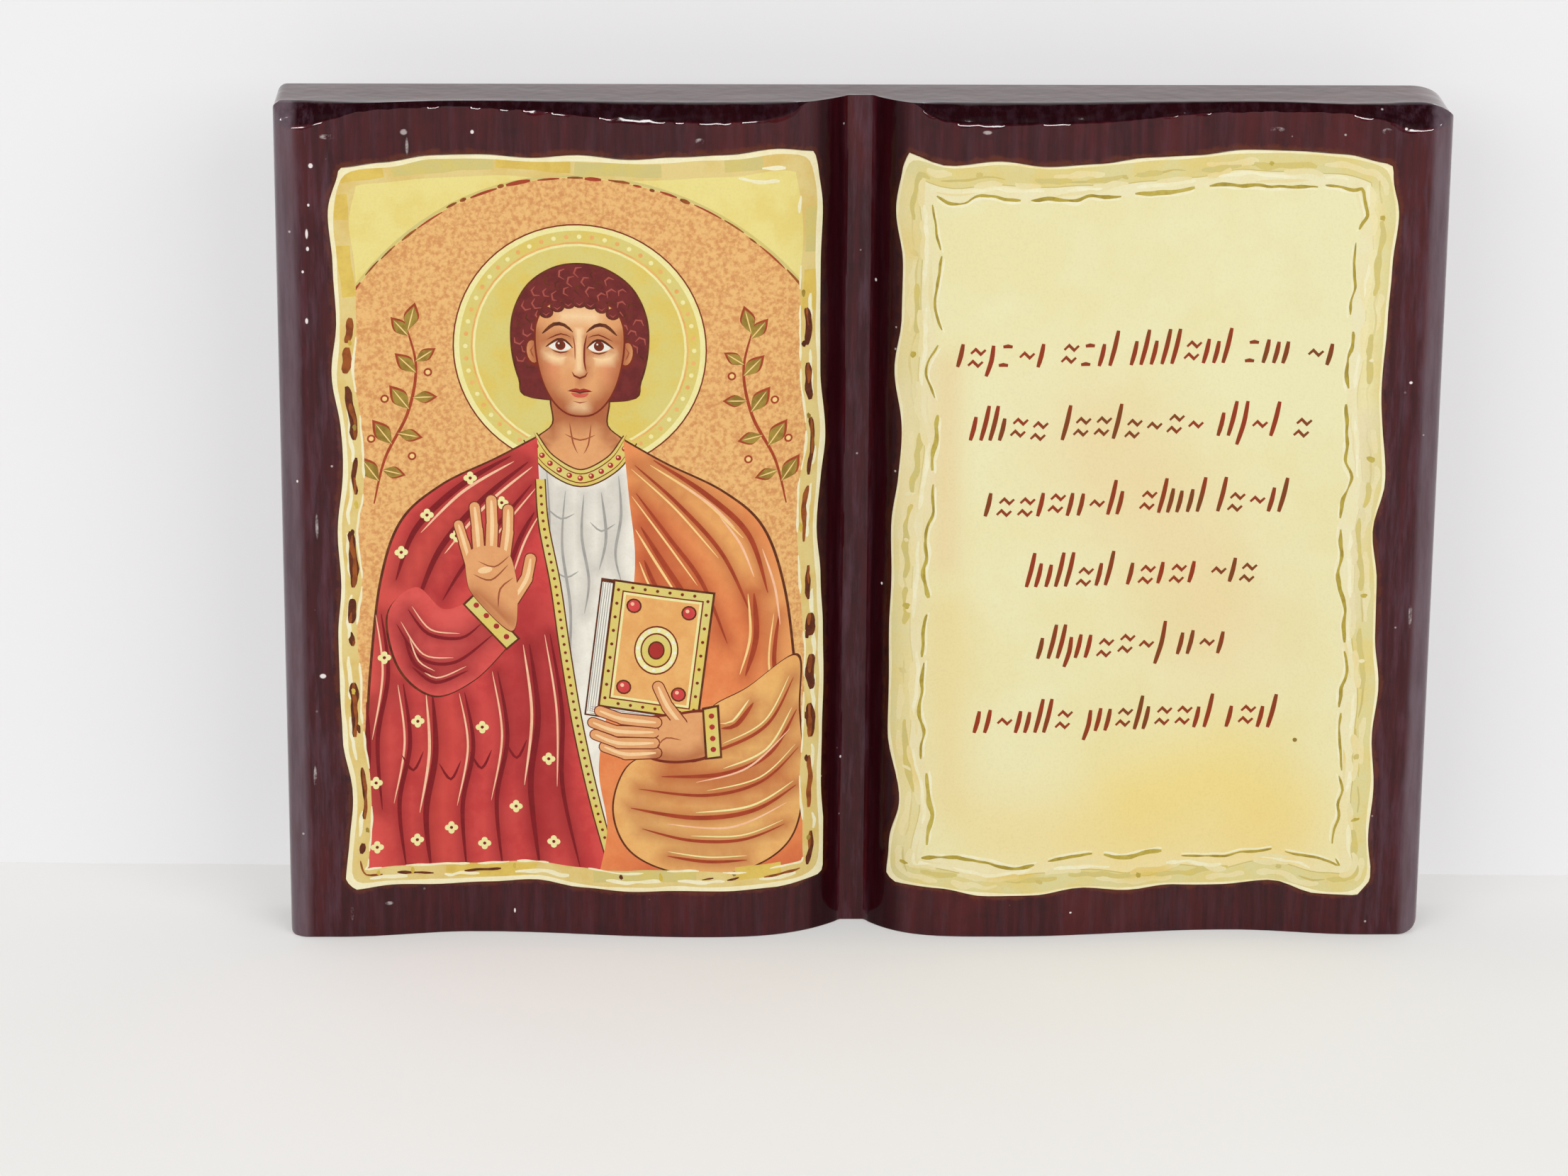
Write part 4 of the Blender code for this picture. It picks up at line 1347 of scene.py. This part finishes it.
# Patches of the border's wash: ink and the line they are painted along.
PATCHES = (
    ("patch", ((-40.6, 137.6), (-33, 138.4))), ("patch_grey", ((-31.6, 138.6), (-14.5, 139.8))),
    ("patch", ((-14, 139.8), (-1.5, 139))), ("patch_grey", ((-0.8, 138.8), (14, 138.8))),
    ("patch_grey", ((24.6, 139.6), (31, 140))), ("patch", ((-40.4, 134.5), (-40.2, 130.2))),
    ("patch", ((-40, 125.6), (-39.2, 116.8))), ("patch", ((39.6, 121), (39.2, 114))),
    ("patch_grey", ((39.8, 132), (39.6, 124))), ("patch", ((-24, 12.2), (-8, 12))),
    ("patch_grey", ((2, 11.4), (20, 12))), ("patch", ((27, 12.2), (35, 12.8))),
)


def paint_icon_border(sheet):
    """The washed border with its golden patches, and the ragged strokes round the picture."""
    dice = random.Random(31)
    picture = (3.5, 0.5, 8, 2.5)
    sheet.surround("border", inset(sheet.outline, *picture))
    for ink, points in PATCHES:
        sheet.fill(ink, brush(shaken(resampled(points, 3, False), dice, 0.12), dice.uniform(2.1, 2.6), 0.0))
    for points in around(sheet, (1.7,), 1.6, dice, 2, 6, (2, 4, 6)):
        if points[0][1] < STROKES_TOP:
            sheet.fill("cream", smear(shaken(points, dice, 0.2), dice, 0.3, 1.0))
    paint_brown_line(sheet, dice)
    for points in around(sheet, (2.6, 0.8, 5, 8.5), 1.0, dice, 1, 3, (5, 8, 12, 17)):
        x, z = points[0]
        if z < INNERMOST_TOP:
            ink = dice.choice(("olive", "dab", "umber"))
            sheet.fill(ink, rough_oval(x, z, 0.35, dice.uniform(0.4, 1.0), 0.1, dice))
    for points in around(sheet, picture, 1.4, dice, 3, 8, (1, 2, 3, 5)):
        if points[0][1] < INNERMOST_TOP:
            sheet.fill("cream", smear(points, dice, 0.15, 0.6))
    pale = ([(27, 137.6), (30, 137), (34, 136.8)], [(31, 139.2), (35, 139)], [(37.6, 134), (37.4, 131)])
    for points in pale:
        sheet.fill("cream", smear(points, dice, 0.3, 1.0))
    sheet.surround("rim", inset(sheet.outline, 0.75, 0.4, 6, 7.5))


def paint_brown_line(sheet, dice):
    """Ragged strokes down the sides and along the foot of the picture, with amber cores."""
    for points in around(sheet, (2.25,), 1.1, dice, 2, 11, (1, 1, 2, 3, 5)):
        x, z = points[len(points) // 2]
        if z > STROKES_TOP or (z < THIN_BELOW and dice.random() < 0.4):
            continue
        sides = abs(x) > 30 and z > 16
        narrow, wide = dice.choice(((0.7, 1.8), (1.1, 2.0), (0.4, 1.2))) if sides else (0.2, 0.7)
        points = shaken(points[::3] if len(points) > 6 else points[::2], dice, 0.25)
        if len(points) < 2:
            continue
        upper = x < 0 and z > 96
        sheet.fill("amber" if upper or dice.random() < 0.15 else "umber", smear(points, dice, narrow, wide))
        if wide > 1 and not upper:
            lean = dice.uniform(-0.22, 0.22)
            core = [(px + lean, pz) for px, pz in points[dice.randint(0, 1):]]
            if len(core) > 1:
                sheet.fill("amber", smear(core, dice, 0.1, wide * 0.6))


def rough_oval(x, z, across, up, tilt, dice):
    """A blot with an uneven edge."""
    made = []
    for step in range(12):
        angle = 2 * math.pi * step / 12
        reach = dice.uniform(0.75, 1.15)
        made.append(placed(x, z, across * reach * math.cos(angle), up * reach * math.sin(angle), tilt))
    return curve(made, step=0.5)


def make_icon():
    sheet = Print(ICON_OUTLINE, ICON_MIDDLE)
    paint_ground(sheet)
    paint_halo(sheet, *HALO)
    for paint in (
        paint_hair, paint_neck, paint_face, paint_tunic, paint_crimson, paint_orange, paint_drape,
        paint_sleeve, paint_raised_hand, paint_book, paint_holding_hand, paint_icon_border,
    ):
        paint(sheet)
    return make_sheet("icon_print_sheet", sheet, printed_paper("icon_print"))


# Inscription: strokes that are not letters

# Height of the middle of each row, and its left and right ends.
ROWS = (
    (107.3, 16.2, 82.0), (94.3, 18.6, 78.6), (80.7, 21.4, 75.4), (67.9, 28.8, 68.0), (54.8, 31.0, 65.4),
    (41.2, 20.2, 74.6),
)
SLANT = 0.22
SHORT = 4.2
TALL = 6.2
BELOW_MIDDLE = 2.7
LAST_MARK = 1.2
GROUP_GAP = 2.0
# The flat marks, and how far each of them moves the row on.
WAVE = ((0, -0.35), (0.8, 0.45), (1.7, -0.45), (2.5, 0.35))
WAVE_STEP = 3.6
DASH = ((0, 0), (0.8, 0.12), (1.6, 0))
DASH_STEP = 3.2


def write_tick(sheet, x, foot, dice):
    """One slanted tick, and how far it moves the row on."""
    high = TALL if dice.random() < 0.3 else SHORT * dice.uniform(0.9, 1.05)
    low = -1.6 if dice.random() < 0.12 else 0.0
    bottom, top = ((x + z * SLANT, foot + z) for z in (low, high))
    middle = (x + high * SLANT / 2 + 0.1, foot + (high + low) / 2)
    sheet.line("ink", [bottom, middle, top], 0.82, 0.3)
    return dice.uniform(1.5, 1.9)


def write_flat(sheet, x, foot, levels, shape, taper):
    """The same flat mark at one or two levels of a slanted row."""
    for level in levels:
        z = foot + level * SHORT
        lean = level * SHORT * SLANT
        sheet.line("ink", [(x + lean + dx, z + dz) for dx, dz in shape], 0.72, taper)


def write_row(sheet, middle_z, left, right, dice):
    """One row of slanted ticks, waves and dashes, in groups with gaps."""
    x = left - sheet.middle_x
    end = right - sheet.middle_x - LAST_MARK
    foot = middle_z - BELOW_MIDDLE
    group = dice.randint(5, 10)
    while x < end:
        kind = dice.random()
        if kind < 0.66:
            x += write_tick(sheet, x, foot, dice)
        elif kind < 0.93:
            write_flat(sheet, x, foot, dice.choice(((0.5,), (0.3, 0.8), (0.15, 0.65))), WAVE, 0.45)
            x += WAVE_STEP
        else:
            write_flat(sheet, x, foot, (0.08, 0.86), DASH, 0.3)
            x += DASH_STEP
        group -= 1
        if group == 0:
            x += GROUP_GAP
            group = dice.randint(4, 10)


def paint_broken_line(sheet, dice):
    """The wavy olive line round the inscription, thick and thin, with a pale edge under it."""
    for points in around(sheet, (5.8, 1.3, 5.5, 4.5), 1.3, dice, 6, 18, (1, 1, 1, 2)):
        points = shaken(points[::2], dice, 0.36)
        if len(points) < 2:
            continue
        x, z = points[0]
        narrow, wide = dice.choice(((0.2, 0.6), (0.2, 0.9), (0.4, 1.1)))
        across = 1 if x > 30 else -1 if x < -30 else 0
        up = 1 if z > 75 else -1
        inner = [(px - 0.45 * across, pz - 0.45 * up) for px, pz in points]
        sheet.fill("cream", smear(inner, dice, narrow, wide * 0.8))
        sheet.fill("moss" if wide < 1 else "olive_light", smear(points, dice, narrow, wide))


# Washed strokes round the inscription: ink, place, step, runs, how much they shake, and widths.
TEXT_STROKES = (
    ("wash_light", (1.7, 0.5, 9, 1.7), 2.2, (2, 6, (1, 3, 5, 8)), 0.3, (0.4, 1.6)),
    ("wash_dark", (2.5, 0.5, 9, 2.5), 2.2, (2, 6, (1, 3, 5, 8)), 0.3, (0.1, 0.5)),
    ("patch_grey", (2.6, 0.5, 9, 2.6), 2.2, (2, 6, (1, 3, 5, 8)), 0.3, (0.5, 1.4)),
    ("wash_light", (3.5, 0.9, 8, 1.5), 2.2, (2, 5, (1, 2, 4)), 0.35, (0.5, 1.5)),
    ("cream", (4.2, 0.9, 8, 1.5), 2.0, (2, 7, (2, 3, 5)), 0.2, (0.3, 0.9)),
)
# Soft tones of the page: colour, radius, strength and line.
PAGE_SHADES = (
    ((241, 212, 112), 12, 0.65, [(2, 25), (16, 28), (24, 23)]),
    ((240, 214, 140), 8, 0.5, [(-22, 20), (0, 17), (26, 17)]),
    ((238, 208, 156), 12, 0.5, [(-6, 90), (8, 72), (14, 58)]),
    ((234, 204, 150), 3, 0.55, [(-33.5, 104), (-33.5, 70)]),
    ((235, 210, 140), 5, 0.5, [(-33, 60), (-32, 26)]),
)
# Golden stains of the border, all of one colour: strength and line.
GOLDEN_STAINS = (
    (0.9, [(-40.8, 127), (-40.6, 124)]), (0.3, [(-40, 111), (-39.8, 107)]), (0.8, [(-40.4, 84), (-40, 80)]),
    (0.7, [(-38.6, 36), (-38, 30)]), (0.25, [(-30, 138.4), (-18, 138)]), (0.25, [(8, 138.6), (16, 138.8)]),
    (0.7, [(-24, 12.6), (-18, 12.4)]), (0.6, [(0, 11.6), (6, 11.8)]), (0.35, [(38.8, 108), (38.6, 104)]),
    (0.5, [(36.8, 44), (36.6, 34)]), (0.5, [(36, 22), (35.6, 17)]),
)
# Paler stretches of the border: colour, radius, strength and line.
PALE_STAINS = (
    ((232, 220, 178), 2.2, 0.8, [(-40.6, 100), (-40.2, 84), (-39.8, 74)]),
    ((232, 220, 178), 2.2, 0.8, [(38.8, 96), (37.6, 76), (37.2, 60)]),
    ((242, 228, 174), 2.8, 0.55, [(-41, 136), (-40.8, 112), (-40.2, 84), (-39, 48), (-40, 18)]),
    ((242, 232, 180), 1.8, 0.7, [(38.4, 134), (38.4, 112), (38.2, 98)]),
)


def paint_text_border(sheet, dice):
    """The washed border of the inscription and the broken line inside it."""
    sheet.fill("wash", inset(sheet.outline, 0.4))
    sheet.fill("wash_dark", inset(sheet.outline, 3.42, 0.9, 8, 1.5))
    sheet.fill("band", inset(sheet.outline, 3.6, 0.9, 8, 1.5))
    for ink, place, step, runs, shake, widths in TEXT_STROKES:
        for points in around(sheet, place, step, dice, *runs):
            sheet.fill(ink, smear(shaken(points, dice, shake), dice, *widths))
    for points in around(sheet, (4.9, 0.6, 7, 5.5), 2.2, dice, 2, 5, (6, 9, 12)):
        sheet.line("wash_light", shaken(points, dice, 0.3), dice.uniform(0.3, 0.8), 0.8)
    sheet.fill("field", inset(sheet.outline, 5.9, 1.1, 6, 4.5))
    paint_broken_line(sheet, dice)


def make_text():
    sheet = Print(TEXT_OUTLINE, TEXT_MIDDLE)
    dice = random.Random(77)
    paint_text_border(sheet, dice)
    edge = ["wash", "wash_light", "wash_dark"]
    sheet.shades(["field", "band"], PAGE_SHADES)
    sheet.shades(edge, [((226, 192, 84), 1.7, strength, points) for strength, points in GOLDEN_STAINS])
    sheet.shades(edge, PALE_STAINS)
    for middle_z, left, right in ROWS:
        write_row(sheet, middle_z, left, right, dice)
    sheet.dot("olive", 28.8, 36.4, 0.4)
    for points in around(sheet, (2.5, 0.8, 5, 6.5), 1.2, dice, 1, 1, (9, 14, 20)):
        across, up, tilt = dice.uniform(0.4, 1.0), dice.uniform(0.3, 0.6), dice.uniform(-0.6, 0.6)
        blot = rough_oval(*points[0], across, up, tilt, dice)
        sheet.fill(dice.choice(("olive_light", "wash_dark", "band")), blot)
    sheet.surround("rim", inset(sheet.outline, 0.35, 0.4, 7, 3.5))
    return make_sheet("text_print_sheet", sheet, printed_paper("text_print"))


# Stage, light and camera

def plane(name, corners, material):
    made = new_mesh_object(name, corners, [(0, 1, 2, 3)])
    made.data.materials.append(material)
    return made


def one_sided(material):
    """Lets the wall be seen only from its front."""
    tree = material.node_tree
    output = tree.nodes["Material Output"]
    geometry = tree.nodes.new("ShaderNodeNewGeometry")
    clear = tree.nodes.new("ShaderNodeBsdfTransparent")
    choose = tree.nodes.new("ShaderNodeMixShader")
    tree.links.new(geometry.outputs["Backfacing"], choose.inputs[0])
    tree.links.new(tree.nodes["Principled BSDF"].outputs[0], choose.inputs[1])
    tree.links.new(clear.outputs[0], choose.inputs[2])
    tree.links.new(choose.outputs[0], output.inputs["Surface"])
    return material


def make_stage():
    """A table top, and a wall close behind the plaque that is turned a little."""
    reach, height = 3.0, 2.2
    floor = plain_surface("table_top", rgb(250, 249, 247), roughness=0.5, share=0.4, glow=0.85)
    plane("floor", [(-reach, -reach, 0), (reach, -reach, 0), (reach, reach, 0), (-reach, reach, 0)], floor)
    behind, turn = 0.026, math.tan(math.radians(-1.7))
    left, right = (-reach, behind - reach * turn), (reach, behind + reach * turn)
    paint = plain_surface("wall_paint", rgb(242, 241, 242), roughness=0.7, share=0.6, glow=0.94)
    wall = one_sided(paint)
    plane("wall", [(*left, 0), (*right, 0), (*right, height), (*left, height)], wall)


def area_light(name, place, target, size, power):
    data = bpy.data.lights.new(name, "AREA")
    data.shape = "RECTANGLE"
    data.size, data.size_y = size
    data.energy = power
    lamp = bpy.data.objects.new(name, data)
    bpy.context.scene.collection.objects.link(lamp)
    lamp.location = place
    lamp.rotation_euler = (Vector(target) - Vector(place)).to_track_quat("-Z", "Y").to_euler()
    lamp.visible_glossy = False
    lamp.visible_camera = False
    return lamp


def make_world():
    """Bright to the sides and dim in front and overhead, as the dark varnish shows."""
    world = bpy.data.worlds.new("room")
    bpy.context.scene.world = world
    world.use_nodes = True
    tree = world.node_tree
    places = tree.nodes.new("ShaderNodeTexCoord")
    split = tree.nodes.new("ShaderNodeSeparateXYZ")
    tree.links.new(places.outputs["Generated"], split.inputs[0])
    light = tree.nodes.new("ShaderNodeMath")
    light.operation = "MULTIPLY"
    ramps = (("Z", 0.35, 0.7, 1.0, 0.03), ("Y", -0.93, -0.6, 0.1, 0.8))
    for index, (axis, low, high, to_low, to_high) in enumerate(ramps):
        ramp = tree.nodes.new("ShaderNodeMapRange")
        ramp.inputs["From Min"].default_value = low
        ramp.inputs["From Max"].default_value = high
        ramp.inputs["To Min"].default_value = to_low
        ramp.inputs["To Max"].default_value = to_high
        tree.links.new(split.outputs[axis], ramp.inputs["Value"])
        tree.links.new(ramp.outputs[0], light.inputs[index])
    tree.links.new(light.outputs[0], tree.nodes["Background"].inputs["Strength"])
    tree.nodes["Background"].inputs["Color"].default_value = (1, 1, 1, 1)


def make_lights():
    make_world()
    middle, top_edge = (0, 0, 0.07), (0, 0, 0.15)
    area_light("left_window", (-1.5, -2.2, 1.2), middle, (1.8, 1.6), 28)
    area_light("right_window", (1.5, -2.2, 1.2), middle, (1.8, 1.6), 33)
    area_light("ceiling", (0, -0.6, 1.7), middle, (1.6, 1.6), 7)
    glint = area_light("glint", (0.0, -1.7, 0.735), top_edge, (0.9, 0.36), 40)
    glint.visible_glossy = True
    glint.visible_diffuse = False


# Lens in mm, place in metres, and turn to the right, down and round in degrees.
CAMERA_LENS = 117.2
CAMERA_PLACE = (-0.0356, -0.8523, 0.3293)
CAMERA_TURN = (1.52, 17.39, -0.42)


def make_camera():
    data = bpy.data.cameras.new("camera")
    data.lens = CAMERA_LENS
    data.sensor_width = 36
    data.clip_start = 0.01
    camera = bpy.data.objects.new("camera", data)
    bpy.context.scene.collection.objects.link(camera)
    yaw, pitch, roll = (math.radians(angle) for angle in CAMERA_TURN)
    s, c, sp, cp = math.sin(yaw), math.cos(yaw), math.sin(pitch), math.cos(pitch)
    forward = Vector((s * cp, c * cp, -sp))
    flat_right = Vector((c, -s, 0))
    flat_up = Vector((s * sp, c * sp, cp))
    right = math.cos(roll) * flat_right - math.sin(roll) * flat_up
    up = math.sin(roll) * flat_right + math.cos(roll) * flat_up
    turned = Matrix((right, up, -forward)).transposed().to_4x4()
    camera.matrix_world = Matrix.Translation(CAMERA_PLACE) @ turned
    bpy.context.scene.camera = camera
    bpy.context.scene.view_settings.view_transform = "Standard"


def main():
    make_stage()
    make_lights()
    make_camera()
    board = make_board()
    board.data.materials.append(stained_wood())
    parts = (
        (board, "book_board", "stained_wood"),
        (make_icon(), "icon_sheet", "icon_print"),
        (make_text(), "text_sheet", "text_print"),
    )
    for piece, node, slot in parts:
        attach(piece, "root")
        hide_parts(node)


main()
